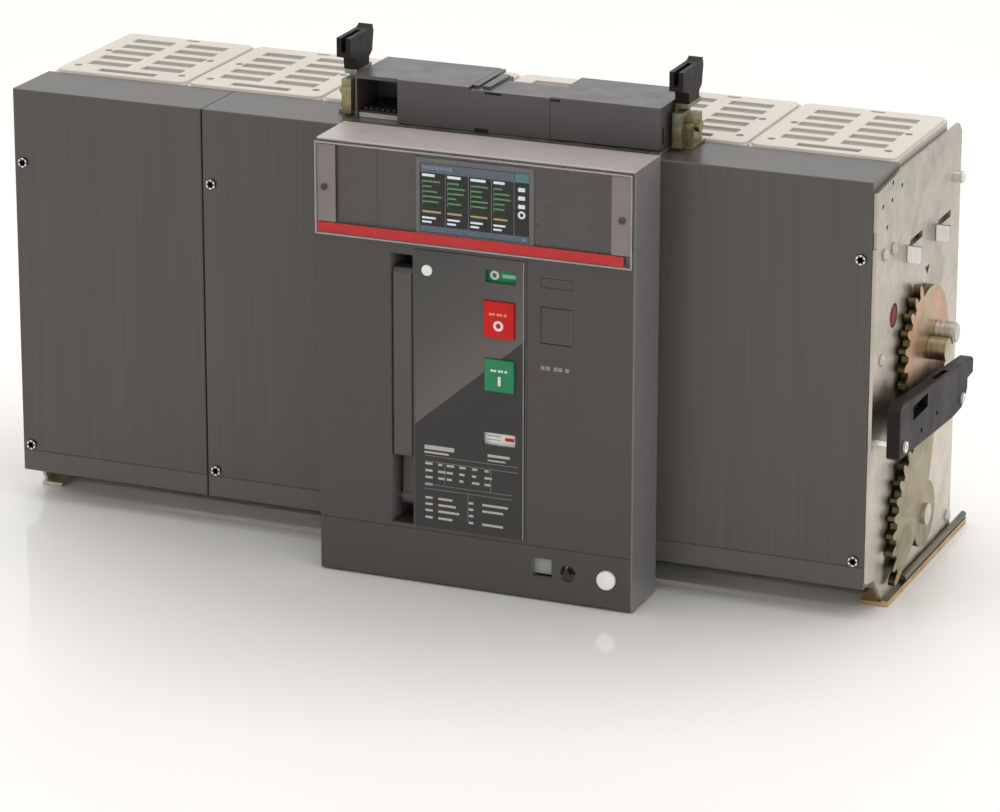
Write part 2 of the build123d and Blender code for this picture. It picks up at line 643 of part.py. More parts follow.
# ---- black guide bar over the right gears ----
BAR_OUTLINE = (
    (-99.0, 142.0), (-96.0, 139.5), (47.0, 131.0), (72.0, 132.0), (84.0, 138.0), (88.0, 146.0),
    (88.0, 153.0), (103.0, 154.0), (103.0, 166.0), (100.0, 168.5), (-92.0, 185.0), (-99.0, 182.0),
)
BAR_RECESS = (-64.0, -25.0, 163.0, 175.0)
BAR_TOP_SLOT = (7.0, 40.0, 171.0, 190.0)
BAR_HOLES = ((2.0, 149.5), (-40.0, 147.5))
with BuildPart() as bridge_bar:
    plate_x(BAR_IN, BAR_OUT, BAR_OUTLINE)
    fillet(bridge_bar.faces().sort_by(Axis.X)[-1].edges(), radius=1.2)
    block(BAR_OUT - 7, BAR_OUT + 1, *BAR_RECESS, mode=Mode.SUBTRACT)
    block(BAR_IN + 3, BAR_OUT - 3, *BAR_TOP_SLOT, mode=Mode.SUBTRACT)
    for y, z in BAR_SCREWS:
        rod_x(BAR_IN - 1, BAR_OUT + 1, y, z, 3.2, mode=Mode.SUBTRACT)
    for y, z in BAR_HOLES:
        rod_x(BAR_OUT - 4, BAR_OUT + 1, y, z, 2.2, mode=Mode.SUBTRACT)
bridge_bar.part.label = "bridge_bar"
export_step(bridge_bar.part, "parts/bridge_bar.step")


# ---- front shield ----
def window(rect, grow, y0, y1):
    """Cut a rectangular window through the shield or the facia."""
    x0, x1, z0, z1 = rect
    block(x0 - grow, x1 + grow, y0, y1, z0 - grow, z1 + grow, mode=Mode.SUBTRACT)


def outline_groove(rect):
    """Shallow engraved outline around a blanked position."""
    x0, x1, z0, z1 = rect
    with BuildSketch(Plane.XZ.offset(-SHIELD_FRONT)) as outline:
        with Locations(((x0 + x1) / 2, (z0 + z1) / 2)):
            Rectangle(x1 - x0, z1 - z0)
            Rectangle(x1 - x0 - 1.2, z1 - z0 - 1.2, mode=Mode.SUBTRACT)
    extrude(outline.sketch, amount=-0.6, mode=Mode.SUBTRACT)


SLOT_X0, SLOT_X1, SLOT_Z0, SLOT_Z1 = LEVER_SLOT
POCKET_BACK = -125.0
LEVER_PIVOT = (-138.0, 68.0)
TRUNNION_R = 4.0
SEAL_PLUG = (25.0, 270.0)
BEZEL = (15.0, 118.0, 298.0, 364.0)
BEZEL_FRONT = -158.0

with BuildPart() as front_shield:
    block(SHIELD_X0, SHIELD_X1, SHIELD_FRONT, SHIELD_REAR, SHIELD_BOTTOM, SHIELD_TOP)
    fillet(front_shield.faces().sort_by(Axis.Y)[0].edges(), radius=2.2)
    block(SHIELD_X0 + SHIELD_WALL, SHIELD_X1 - SHIELD_WALL, SHIELD_FRONT + SHIELD_WALL,
          SHIELD_REAR + 1, SHIELD_BOTTOM + SHIELD_WALL, SHIELD_TOP - SHIELD_WALL,
          mode=Mode.SUBTRACT)
    block(SLOT_X0 - 2.2, SLOT_X1 + 2.2, SHIELD_FRONT + SHIELD_WALL - 0.5, POCKET_BACK + 2,
          SLOT_Z0 - 2.2, SLOT_Z1 + 2.2)
    block(SLOT_X0, SLOT_X1, SHIELD_FRONT - 1, POCKET_BACK, SLOT_Z0, SLOT_Z1,
          mode=Mode.SUBTRACT)
    rod_x(SLOT_X0 - 3, SLOT_X1 + 3, *LEVER_PIVOT, TRUNNION_R + RUNNING_GAP,
          mode=Mode.SUBTRACT)
    block(FACIA_X[0], FACIA_X[1], SHIELD_FRONT - 1, FACIA_BACK, FACIA_Z[0], FACIA_Z[1],
          mode=Mode.SUBTRACT)
    block(70, 106, SHIELD_FRONT - 1, SHIELD_FRONT + 4, 124, 280, mode=Mode.SUBTRACT)
    window(BEZEL, BUTTON_GAP, SHIELD_FRONT - 1, SHIELD_FRONT + 4)
    window(RESET_BUTTON, 0, SHIELD_FRONT - 1, SHIELD_FRONT + 4)
    window(POSITION_WINDOW, 0, SHIELD_FRONT - 1, SHIELD_FRONT + 4)
    outline_groove(BLANK_OUTLINE)
    rod_y(CRANK_X, SHIELD_FRONT - 1, SHIELD_FRONT + 4, CRANK_Z, CRANK_HOLE_R,
          mode=Mode.SUBTRACT)
    rod_y(RELEASE_X, SHIELD_FRONT - 1, SHIELD_FRONT + 4, RELEASE_Z, RELEASE_R + BUTTON_GAP,
          mode=Mode.SUBTRACT)
    rod_y(SEAL_PLUG[0], SHIELD_FRONT - 1, SHIELD_FRONT + 4, SEAL_PLUG[1], 3.2,
          mode=Mode.SUBTRACT)
    block(SHIELD_X0 - 1, SHIELD_X1 + 1, SHIELD_FRONT - 1, SHIELD_FRONT + 0.6,
          STRIP_SEAM_Z, STRIP_SEAM_Z + 0.8, mode=Mode.SUBTRACT)
    block(-19.0, -18.2, SHIELD_FRONT - 1, SHIELD_FRONT + 0.6, DISPLAY_BAND_Z, 366,
          mode=Mode.SUBTRACT)
    block(111.4, 112.2, SHIELD_FRONT - 1, SHIELD_FRONT + 0.6, STRIP_SEAM_Z, DISPLAY_BAND_Z,
          mode=Mode.SUBTRACT)
front_shield.part.label = "front_shield"
export_step(front_shield.part, "parts/front_shield.step")

with BuildPart() as facia_panel:
    block(FACIA_X[0] + 0.3, FACIA_X[1] - 0.3, FACIA_FRONT, FACIA_BACK - 0.02,
          FACIA_Z[0] + 0.3, FACIA_Z[1] - 0.3)
    for rect in (OFF_BUTTON, ON_BUTTON, STATE_WINDOW, SPRING_WINDOW):
        window(rect, 0, FACIA_FRONT - 1, FACIA_BACK + 1)
    rod_y(SEAL_PLUG[0], FACIA_FRONT - 1, FACIA_BACK + 1, SEAL_PLUG[1], 3.2,
          mode=Mode.SUBTRACT)
facia_panel.part.label = "facia_panel"
export_step(facia_panel.part, "parts/facia_panel.step")

with BuildPart() as seal_plug:
    rod_y(SEAL_PLUG[0], FACIA_FRONT - 1.4, FACIA_FRONT - 0.05, SEAL_PLUG[1], 4.6)
    fillet(seal_plug.faces().sort_by(Axis.Y)[0].edges(), radius=0.6)
    rod_y(SEAL_PLUG[0], FACIA_FRONT - 0.1, FACIA_BACK + 3, SEAL_PLUG[1], 3.0)
seal_plug.part.label = "seal_plug"
export_step(seal_plug.part, "parts/seal_plug.step")


# ---- push buttons and flags ----
def push_button(rect, face_y, stem_y):
    """Square cap with rounded face and a guided stem."""
    x0, x1, z0, z1 = rect
    mid_x = (x0 + x1) / 2
    mid_z = (z0 + z1) / 2
    with BuildPart() as button:
        block(x0 + BUTTON_GAP, x1 - BUTTON_GAP, face_y, -147.0, z0 + BUTTON_GAP, z1 - BUTTON_GAP)
        fillet(button.faces().sort_by(Axis.Y)[0].edges(), radius=1.0)
        block(mid_x - 5, mid_x + 5, -147.0, stem_y, mid_z - 5, mid_z + 5)
    return button.part


BUTTONS = {
    "on_button": (ON_BUTTON, -159.4, -126.0),
    "off_button": (OFF_BUTTON, -159.4, -126.0),
    "reset_button": (RESET_BUTTON, -157.0, -130.0),
}
for label, (rect, face_y, stem_y) in BUTTONS.items():
    button_part = push_button(rect, face_y, stem_y)
    button_part.label = label
    export_step(button_part, f"parts/{label}.step")

with BuildPart() as racking_release_button:
    rod_y(RELEASE_X, -160.0, -148.0, RELEASE_Z, RELEASE_R)
    fillet(racking_release_button.faces().sort_by(Axis.Y)[0].edges(), radius=1.6)
    rod_y(RELEASE_X, -148.0, -128.0, RELEASE_Z, 4.0)
racking_release_button.part.label = "racking_release_button"
export_step(racking_release_button.part, "parts/racking_release_button.step")


FLAG_BACK = -150.6
FLAG_FRONT = -152.8
FLAG_TRAVEL = 11.5


def sliding_flag(rect):
    """Two-field flag behind a window, as tall as both fields."""
    x0, x1, z0, z1 = rect
    with BuildPart() as flag:
        block(x0 - 1.5, x1 + 1.5, FLAG_FRONT, FLAG_BACK, z0 - 0.8, z1 + FLAG_TRAVEL + 0.8)
    return flag.part


for label, rect in (("state_flag", STATE_WINDOW), ("spring_flag", SPRING_WINDOW)):
    flag_part = sliding_flag(rect)
    flag_part.label = label
    export_step(flag_part, f"parts/{label}.step")

DRUM_Y = -138.5
DRUM_Z = 29.0
with BuildPart() as position_drum:
    with BuildSketch(Plane.YZ.offset(POSITION_WINDOW[0] - 1.2)):
        with Locations((DRUM_Y, DRUM_Z)):
            RegularPolygon(radius=12.5, side_count=6, major_radius=False, rotation=30)
    extrude(amount=19.7)
    rod_x(POSITION_WINDOW[0] - 6, POSITION_WINDOW[1] + 3, DRUM_Y, DRUM_Z, 2.5)
position_drum.part.label = "position_drum"
export_step(position_drum.part, "parts/position_drum.step")


# ---- charging lever ----
PIVOT_Y, PIVOT_Z = LEVER_PIVOT
GRIP_X = (-6.8, 10.8)
ARM_X = (-3.5, 7.5)
with BuildPart() as charging_lever:
    plate_x(*GRIP_X, ((-155.5, 108.0), (-155.5, 264.0), (-152.0, 268.0), (-140.0, 268.0),
                      (-136.0, 264.0), (-136.0, 108.0)))
    grip_edges = charging_lever.faces().sort_by(Axis.Y)[0].edges()
    fillet(grip_edges, radius=2.0)
    plate_x(*ARM_X, ((PIVOT_Y - 5, PIVOT_Z), (-141.0, 110.0), (-137.0, 110.0),
                     (PIVOT_Y + 7, PIVOT_Z)))
    rod_x(*ARM_X, PIVOT_Y, PIVOT_Z, 7.0)
    rod_x(SLOT_X0 - 2, SLOT_X1 + 2, PIVOT_Y, PIVOT_Z, TRUNNION_R)
charging_lever.part.label = "charging_lever"
export_step(charging_lever.part, "parts/charging_lever.step")


# ---- operating mechanism ----
FRAME_OUTLINE = ((-118.0, 46.0), (-40.0, 46.0), (-40.0, 340.0), (-104.0, 340.0),
                 (-104.0, 290.0), (-118.0, 276.0))
with BuildPart() as mechanism_frame:
    for x in FRAME_X:
        plate_x(x - FRAME_T / 2, x + FRAME_T / 2, FRAME_OUTLINE)
        rod_x(x - 5, x + 5, POLE_SHAFT_Y, POLE_SHAFT_Z, POLE_SHAFT_R + RUNNING_GAP,
              mode=Mode.SUBTRACT)
        rod_x(x - 5, x + 5, CHARGE_Y, CHARGE_Z, CHARGE_R + RUNNING_GAP, mode=Mode.SUBTRACT)
    spacer_x = (FRAME_X[0] + 1, FRAME_X[1] - 1)
    rod_x(*spacer_x, -52.0, 330.0, 5.0)
    rod_x(*spacer_x, -108.0, 54.0, 5.0)
    rod_x(*spacer_x, -50.0, 54.0, 5.0)
    block(*spacer_x, -104, -64, 50, 56)
mechanism_frame.part.label = "mechanism_frame"
export_step(mechanism_frame.part, "parts/mechanism_frame.step")

with BuildPart() as charging_shaft:
    rod_x(FRAME_X[0] - 12, FRAME_X[1] + 12, CHARGE_Y, CHARGE_Z, CHARGE_R)
    with BuildSketch(Plane.YZ.offset(-4)):
        with Locations((CHARGE_Y, CHARGE_Z)):
            Circle(22)
            with PolarLocations(22, 18):
                Rectangle(3.4, 3.0, mode=Mode.SUBTRACT)
    extrude(amount=8)
    with BuildSketch(Plane.YZ.offset(30)):
        with Locations((CHARGE_Y, CHARGE_Z)):
            Circle(16)
        with Locations((CHARGE_Y, CHARGE_Z + 9)):
            Circle(15)
    extrude(amount=12)
charging_shaft.part.label = "charging_shaft"
export_step(charging_shaft.part, "parts/charging_shaft.step")

SPRING_BASE = 57.0
SPRING_HEIGHT = 66.0
SPRING_R = 11.0
SPRING_WIRE = 2.2
SPRING_Y = -78.0
SPRING_X = (-26.0, 42.0)


def coil_spring(x):
    """Helical closing spring around its guide rod."""
    start = SPRING_BASE + SPRING_WIRE + 0.1
    with BuildLine() as coil:
        Helix(pitch=7.5, height=SPRING_HEIGHT, radius=SPRING_R, center=(x, SPRING_Y, start))
    with BuildSketch(Plane(origin=coil.line @ 0, z_dir=coil.line % 0)) as wire:
        Circle(SPRING_WIRE)
    sweep(wire.sketch, path=coil.line, is_frenet=True)


with BuildPart() as closing_springs:
    for spring_x in SPRING_X:
        coil_spring(spring_x)
        rod_z(spring_x, SPRING_Y, SPRING_BASE, SPRING_BASE + SPRING_HEIGHT + 4, 5.5)
closing_springs.part.label = "closing_springs"
export_step(closing_springs.part, "parts/closing_springs.step")

with BuildPart() as trip_unit:
    block(BEZEL[0], BEZEL[1], BEZEL_FRONT, -112.0, BEZEL[2], BEZEL[3])
    fillet(trip_unit.faces().sort_by(Axis.Y)[0].edges(), radius=1.2)
    block(BEZEL[0] + 4, BEZEL[1] - 4, BEZEL_FRONT - 1, BEZEL_FRONT + 1.2,
          BEZEL[2] + 4, BEZEL[3] - 4, mode=Mode.SUBTRACT)
trip_unit.part.label = "trip_unit"
export_step(trip_unit.part, "parts/trip_unit.step")

with BuildPart() as display_screen:
    block(BEZEL[0] + 4.2, BEZEL[1] - 4.2, BEZEL_FRONT + 0.4, BEZEL_FRONT + 1.15,
          BEZEL[2] + 4.2, BEZEL[3] - 4.2)
display_screen.part.label = "display_screen"
export_step(display_screen.part, "parts/display_screen.step")


# ---- clear cover over the display ----
CLEAR_X = (SHIELD_X0 + 0.4, SHIELD_X1 - 0.8)
CLEAR_Z = (DISPLAY_BAND_Z, 369.0)
CLEAR_T = 1.8
THUMB_SCREWS = ((-64.3, 331.0), (193.7, 331.0))
with BuildPart() as clear_cover:
    block(CLEAR_X[0], CLEAR_X[1], FRONT_LIMIT, SHIELD_FRONT - 0.3, CLEAR_Z[0], CLEAR_Z[1])
    fillet(clear_cover.faces().sort_by(Axis.Y)[0].edges(), radius=1.2)
    block(CLEAR_X[0] + CLEAR_T, CLEAR_X[1] - CLEAR_T, FRONT_LIMIT + CLEAR_T,
          SHIELD_FRONT + 1, CLEAR_Z[0] + CLEAR_T, CLEAR_Z[1] - CLEAR_T, mode=Mode.SUBTRACT)
    for x, z in THUMB_SCREWS:
        block(x - 6, x + 6, FRONT_LIMIT + 0.4, SHIELD_FRONT - 0.3, z - 9, z + 9)
        rod_y(x, FRONT_LIMIT - 1, SHIELD_FRONT + 1, z, 3.0, mode=Mode.SUBTRACT)
clear_cover.part.label = "clear_cover"
export_step(clear_cover.part, "parts/clear_cover.step")

with BuildPart() as red_stripe:
    block(CLEAR_X[0] + 2.2, SHIELD_X1 - 8.5, FRONT_LIMIT + CLEAR_T + 0.1, BEZEL_FRONT - 0.3,
          DISPLAY_BAND_Z + CLEAR_T + 0.1, DISPLAY_BAND_Z + 10)
red_stripe.part.label = "red_stripe"
export_step(red_stripe.part, "parts/red_stripe.step")

with BuildPart() as cover_thumb_screws:
    for x, z in THUMB_SCREWS:
        rod_y(x, FRONT_LIMIT + 0.1, SHIELD_FRONT - 0.6, z, 2.8)
        block(x - 3, x + 3, FRONT_LIMIT, FRONT_LIMIT + 1.2, z - 0.5, z + 0.5,
              mode=Mode.SUBTRACT)
cover_thumb_screws.part.label = "cover_thumb_screws"
export_step(cover_thumb_screws.part, "parts/cover_thumb_screws.step")


# ---- wiring terminals on top ----
with BuildPart() as terminal_cover_left:
    block(-30, 33, BOX_FRONT, BOX_REAR, BOX_Z0, BOX_Z1)
    block(-69, -29, BOX_FRONT + 3, BOX_REAR, BOX_Z1 - 3, BOX_Z1)
    block(-69, -29, BOX_REAR - 22, BOX_REAR, BOX_Z0, BOX_Z1)
    block(-69, -67.4, BOX_FRONT + 3, BOX_REAR, BOX_Z0, BOX_Z1)
    block(32, 50, BOX_FRONT, BOX_REAR - 14, BOX_Z0, BOX_Z1 - 2)
    block(50, 104, BOX_FRONT, BOX_REAR - 29, BOX_Z0, BOX_Z1 - 2)
    block(-31, 105, BOX_FRONT - 1, BOX_FRONT + 0.4, BOX_Z0 - 1, BOX_Z0 + 2, mode=Mode.SUBTRACT)
terminal_cover_left.part.label = "terminal_cover_left"
export_step(terminal_cover_left.part, "parts/terminal_cover_left.step")

with BuildPart() as terminal_cover_right:
    block(104.4, 199, BOX_FRONT, BOX_REAR, BOX_Z0, BOX_Z1 - 1)
    fillet(terminal_cover_right.edges().filter_by(Axis.X).sort_by(Axis.Y)[:2], radius=1.0)
    block(197, 200, BOX_FRONT + 4, BOX_FRONT + 9, BOX_Z0 + 4, BOX_Z0 + 18, mode=Mode.SUBTRACT)
terminal_cover_right.part.label = "terminal_cover_right"
export_step(terminal_cover_right.part, "parts/terminal_cover_right.step")

with BuildPart() as terminal_block:
    block(-67, -31, BOX_FRONT + 6, BOX_REAR - 22.4, BOX_Z0, BOX_Z0 + 6)
    for index in range(7):
        x = -64 + 5 * index
        block(x, x + 3.4, BOX_FRONT + 9, BOX_REAR - 22.4, BOX_Z0 + 5, BOX_Z0 + 8)
terminal_block.part.label = "terminal_block"
export_step(terminal_block.part, "parts/terminal_block.step")

with BuildPart() as mounting_bridge:
    block(-64, 194, -98, -42, 344.0, 347.0)
    block(-70, 200, -98, -36, 367.4, 370.4)
    for x in (-60, 186):
        block(x, x + 4, -96, -44, 346.5, 368)
mounting_bridge.part.label = "mounting_bridge"
export_step(mounting_bridge.part, "parts/mounting_bridge.step")


def contact_post(x0, x1):
    """Slotted plastic head that carries the sliding wiring contacts."""
    with BuildPart() as post:
        plate_x(x0, x1, ((-75.5, 417.0), (-75.5, 433.0), (-36.0, 433.5), (-31.0, 436.0),
                         (-29.0, 430.0), (-32.0, 414.0), (-38.0, 410.0), (-38.0, 404.0),
                         (-61.0, 404.0), (-62.0, 413.0)))
        mid = (x0 + x1) / 2
        block(mid - 2, mid + 2, -80, -44, 421, 440, mode=Mode.SUBTRACT)
    return post.part


POSTS = {"contact_post_left": (-91.0, -78.5), "contact_post_right": (200.5, 212.5)}
for label, (left, right) in POSTS.items():
    post_part = contact_post(left, right)
    post_part.label = label
    export_step(post_part, f"parts/{label}.step")


def post_bracket(x0, x1, outward):
    """Folded steel bracket under one post, with its screw and clamp block."""
    plate = sorted((x0, x0 + outward * 2))
    block(*plate, -62, -32, COVER_TOP + 0.4, 404)
    block(*sorted((x0, x0 + outward * 11)), -62, -32, 400, 403.9)
    block(*sorted((x0, x0 + outward * 16)), -64, -34, COVER_TOP + 0.4, COVER_TOP + 2.4)
    block(*sorted((x0 + outward * 1, x0 + outward * 9)), -72, -52, COVER_TOP + 2, COVER_TOP + 31)
    block(*sorted((x0 + outward * 8, x0 + outward * 15)), -60, -40, COVER_TOP + 2,
          COVER_TOP + 27)
    rod_y(x0 + outward * 12, -64, -59, COVER_TOP + 19, 3.0)
    rod_x(*sorted((x0 + outward * 14, x0 + outward * 18)), -50, COVER_TOP + 17, 5.0)


with BuildPart() as post_brackets:
    post_bracket(201.0, 212.0, 1)
    post_bracket(-79.0, -90.0, -1)
post_brackets.part.label = "post_brackets"
export_step(post_brackets.part, "parts/post_brackets.step")
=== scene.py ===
import json
from math import cos, hypot, pi, radians, sin

import bmesh
import bpy
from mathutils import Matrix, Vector


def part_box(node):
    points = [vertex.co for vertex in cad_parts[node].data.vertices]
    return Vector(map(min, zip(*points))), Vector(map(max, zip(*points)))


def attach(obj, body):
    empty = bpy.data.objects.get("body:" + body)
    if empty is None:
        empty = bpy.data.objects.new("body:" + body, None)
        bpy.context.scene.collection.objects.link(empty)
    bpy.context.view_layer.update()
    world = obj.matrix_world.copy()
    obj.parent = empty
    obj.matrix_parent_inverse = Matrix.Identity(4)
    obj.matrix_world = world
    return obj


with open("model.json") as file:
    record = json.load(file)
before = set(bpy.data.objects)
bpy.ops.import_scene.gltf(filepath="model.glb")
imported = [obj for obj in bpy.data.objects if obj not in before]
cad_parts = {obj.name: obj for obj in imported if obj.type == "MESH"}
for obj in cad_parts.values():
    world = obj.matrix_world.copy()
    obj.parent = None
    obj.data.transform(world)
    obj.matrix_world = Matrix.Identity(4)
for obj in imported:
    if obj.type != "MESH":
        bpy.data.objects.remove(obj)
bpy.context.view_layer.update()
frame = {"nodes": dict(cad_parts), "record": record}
MM = 0.001


# ---- camera ----
CAMERA_PLACE = (1.394, -3.3025, 1.3001)
CAMERA_TILT = 17.10
CAMERA_TURN = 22.54
CAMERA_ROLL = 0.09
CAMERA_SHIFT = -0.106
CAMERA_LENS = 160.0


def make_camera():
    data = bpy.data.cameras.new("camera")
    data.lens = CAMERA_LENS
    data.sensor_width = 36.0
    data.shift_y = CAMERA_SHIFT
    data.clip_end = 50.0
    camera = bpy.data.objects.new("camera", data)
    camera.location = CAMERA_PLACE
    camera.rotation_euler = (radians(90.0 - CAMERA_TILT), 0.0, radians(CAMERA_TURN))
    camera.rotation_euler.rotate_axis("Z", radians(CAMERA_ROLL))
    bpy.context.scene.collection.objects.link(camera)
    bpy.context.scene.camera = camera


# ---- node helpers ----
def tone(red, green, blue):
    """A colour given in display values of 0 to 255, as the linear colour that shaders take."""
    def linear(value):
        share = value / 255.0
        return share / 12.92 if share <= 0.04045 else ((share + 0.055) / 1.055) ** 2.4
    return (linear(red), linear(green), linear(blue), 1.0)


def scaled(colour, factor):
    return (colour[0] * factor, colour[1] * factor, colour[2] * factor, 1.0)


class Finish:
    """One procedural material on a Principled shader, worked out in the part's own coordinates."""

    def __init__(self, name, **sockets):
        self.material = bpy.data.materials.new(name)
        self.material.use_nodes = True
        self.tree = self.material.node_tree
        self.shader = self.tree.nodes["Principled BSDF"]
        for socket, value in sockets.items():
            self.shader.inputs[socket.replace("_", " ")].default_value = value
        self.place = self.tree.nodes.new("ShaderNodeTexCoord").outputs["Object"]

    def node(self, kind, links=(), values=(), **settings):
        made = self.tree.nodes.new(kind)
        for key, value in settings.items():
            setattr(made, key, value)
        for key, value in dict(values).items():
            made.inputs[key].default_value = value
        for key, source in dict(links).items():
            self.tree.links.new(source, made.inputs[key])
        return made

    def stretched(self, scale):
        made = self.node("ShaderNodeMapping", {"Vector": self.place}, {"Scale": scale})
        return made.outputs["Vector"]

    def noise(self, scale, detail=3.0, rough=0.5, stretch=(1.0, 1.0, 1.0), warp=0.0):
        made = self.node("ShaderNodeTexNoise", {"Vector": self.stretched(stretch)},
                         {"Scale": scale, "Detail": detail, "Roughness": rough, "Distortion": warp})
        return made.outputs["Fac"]

    def ramp(self, source, stops):
        made = self.node("ShaderNodeValToRGB", {"Fac": source})
        elements = made.color_ramp.elements
        while len(elements) < len(stops):
            elements.new(0.5)
        for element, (position, colour) in zip(elements, stops):
            element.position = position
            element.color = colour
        return made.outputs["Color"]

    def spread(self, source, low, high, start=0.3, end=0.7):
        made = self.node("ShaderNodeMapRange", {"Value": source},
                         {"From Min": start, "From Max": end, "To Min": low, "To Max": high})
        return made.outputs["Result"]

    def mix(self, first, second, factor, blend="MIX"):
        made = self.tree.nodes.new("ShaderNodeMix")
        made.data_type = "RGBA"
        made.blend_type = blend
        sockets = [s for s in made.inputs if s.enabled]
        for socket, value in zip((sockets[0], sockets[1], sockets[2]), (factor, first, second)):
            if isinstance(value, bpy.types.NodeSocket):
                self.tree.links.new(value, socket)
            else:
                socket.default_value = value
        return [s for s in made.outputs if s.enabled][0]

    def maths(self, operation, first, second=0.0, third=0.0):
        made = self.node("ShaderNodeMath", operation=operation)
        for socket, value in zip(made.inputs, (first, second, third)):
            if isinstance(value, bpy.types.NodeSocket):
                self.tree.links.new(value, socket)
            else:
                socket.default_value = value
        return made.outputs["Value"]

    def axis(self, letter):
        made = self.node("ShaderNodeSeparateXYZ", {"Vector": self.place})
        return made.outputs[letter]

    def colour(self, source):
        self.tree.links.new(source, self.shader.inputs["Base Color"])

    def roughness(self, source):
        self.tree.links.new(source, self.shader.inputs["Roughness"])

    def bump(self, height, strength, distance=0.0004):
        made = self.node("ShaderNodeBump", {"Height": height},
                         {"Strength": strength, "Distance": distance})
        self.tree.links.new(made.outputs["Normal"], self.shader.inputs["Normal"])


# ---- plastics ----
WARM_SHEEN = (1.0, 0.94, 0.93, 1.0)
SHEEN_IOR = 1.62
# Painted light: height above which upward faces take the painted top sheen, and the grey painted onto
# right-facing sides as side light.
PAINTED_SHEEN_FROM = 0.3
PAINTED_SIDE_LIGHT = tone(118, 116, 116)


def moulded_plastic(name, colour, rough, grain, depth, mottle=0.10, painted_top_sheen=None, **sockets):
    """Moulded plastic: fine grain, slight tone drift and uneven sheen; when given, a painted sheen lightens
    the upward faces high up and a painted side light greys the right side.
    """
    made = Finish(name, Specular_Tint=WARM_SHEEN, **sockets)
    drift = made.noise(9.0, detail=2.0)
    fine = made.noise(grain, detail=2.0, rough=0.6)
    base = made.ramp(drift, [(0.3, scaled(colour, 1.0 - mottle)), (0.7, scaled(colour, 1.0 + mottle))])
    if painted_top_sheen:
        normal = made.node("ShaderNodeNewGeometry").outputs["Normal"]
        facing = made.node("ShaderNodeSeparateXYZ", {"Vector": normal}).outputs
        # painted sheen on upward faces high up, then painted side light on right-facing faces
        high_up = made.maths("GREATER_THAN", made.axis("Z"), PAINTED_SHEEN_FROM)
        painted_sheen_mask = made.maths("MULTIPLY", made.spread(facing["Z"], 0.0, 1.0, 0.35, 0.9), high_up)
        base = made.mix(base, painted_top_sheen, painted_sheen_mask)
        base = made.mix(base, PAINTED_SIDE_LIGHT, made.spread(facing["X"], 0.0, 1.0, 0.5, 0.9))
    speck = made.spread(fine, 0.985, 1.015)
    made.colour(made.mix(base, speck, 1.0, "MULTIPLY"))
    made.roughness(made.spread(made.noise(60.0), rough - 0.05, rough + 0.06))
    made.bump(fine, depth)
    return made.material


def cover_plastic():
    """Pole cover moulding: dark grey with faint vertical flow streaks and a lighter lower band."""
    made = Finish("cover_plastic", IOR=SHEEN_IOR, Specular_Tint=WARM_SHEEN)
    dark = tone(59, 57, 52)
    pale = tone(66, 63, 58)
    streaks = made.noise(330.0, detail=4.0, rough=0.65, stretch=(1.0, 1.0, 0.012))
    broad = made.noise(38.0, detail=2.0, stretch=(1.0, 1.0, 0.05))
    base = made.ramp(streaks, [(0.36, dark), (0.64, pale)])
    tinted = made.mix(base, made.spread(broad, 0.94, 1.07), 1.0, "MULTIPLY")
    seam_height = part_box("pole_cover_right")[0].z + 19.0 * MM
    above = made.maths("GREATER_THAN", made.axis("Z"), seam_height)
    made.colour(made.mix(made.mix(tinted, tone(78, 74, 71), 0.35), tinted, above))
    made.roughness(made.spread(streaks, 0.30, 0.36))
    made.bump(made.noise(500.0, detail=2.0), 0.01)
    return made.material


def facia_film():
    """Printed front film: a pale field above a slanting edge, brightest along it, and a dark field."""
    made = Finish("facia_film", Roughness=0.42)
    low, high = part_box("facia_panel")
    edge_rise = 0.851
    edge_start = low.z + 89.0 * MM
    edge_offset = edge_start - edge_rise * (low.x + 1.2 * MM)
    along = made.maths("MULTIPLY_ADD", made.axis("X"), edge_rise, edge_offset)
    above = made.maths("SUBTRACT", made.axis("Z"), along)
    fade_reach = 0.56 * (high.z - low.z)
    fade = made.spread(above, 0.0, 1.0, 0.0, fade_reach)
    pale = made.ramp(fade, [(0.0, tone(90, 84, 81)), (0.45, tone(70, 67, 65)), (1.0, tone(58, 56, 54))])
    inside = made.maths("GREATER_THAN", above, 0.0)
    grain = made.spread(made.noise(500.0, detail=1.0), 0.985, 1.015)
    two_tone = made.mix(tone(36, 35, 33), pale, inside)
    made.colour(made.mix(two_tone, grain, 1.0, "MULTIPLY"))
    made.bump(made.noise(400.0), 0.01)
    return made.material


def glossy_paint(name, colour, rough, **sockets):
    """Smooth coloured plastic with a soft orange-peel surface and rubbed patches."""
    made = Finish(name, **sockets)
    wear = made.noise(110.0, detail=4.0)
    made.colour(made.ramp(wear, [(0.3, scaled(colour, 0.9)), (0.7, scaled(colour, 1.08))]))
    made.roughness(made.spread(made.noise(240.0), rough - 0.04, rough + 0.06))
    made.bump(made.noise(700.0, detail=1.0), 0.05)
    return made.material


def clear_plastic(name, alpha, colour):
    """Clear polycarbonate, a little hazy, with fine handling marks."""
    made = Finish(name, Alpha=alpha, IOR=1.5, Specular_IOR_Level=0.12)
    haze = made.noise(45.0, detail=3.0)
    made.colour(made.ramp(haze, [(0.3, scaled(colour, 0.93)), (0.7, scaled(colour, 1.05))]))
    made.roughness(made.spread(made.noise(24.0), 0.05, 0.12))
    return made.material


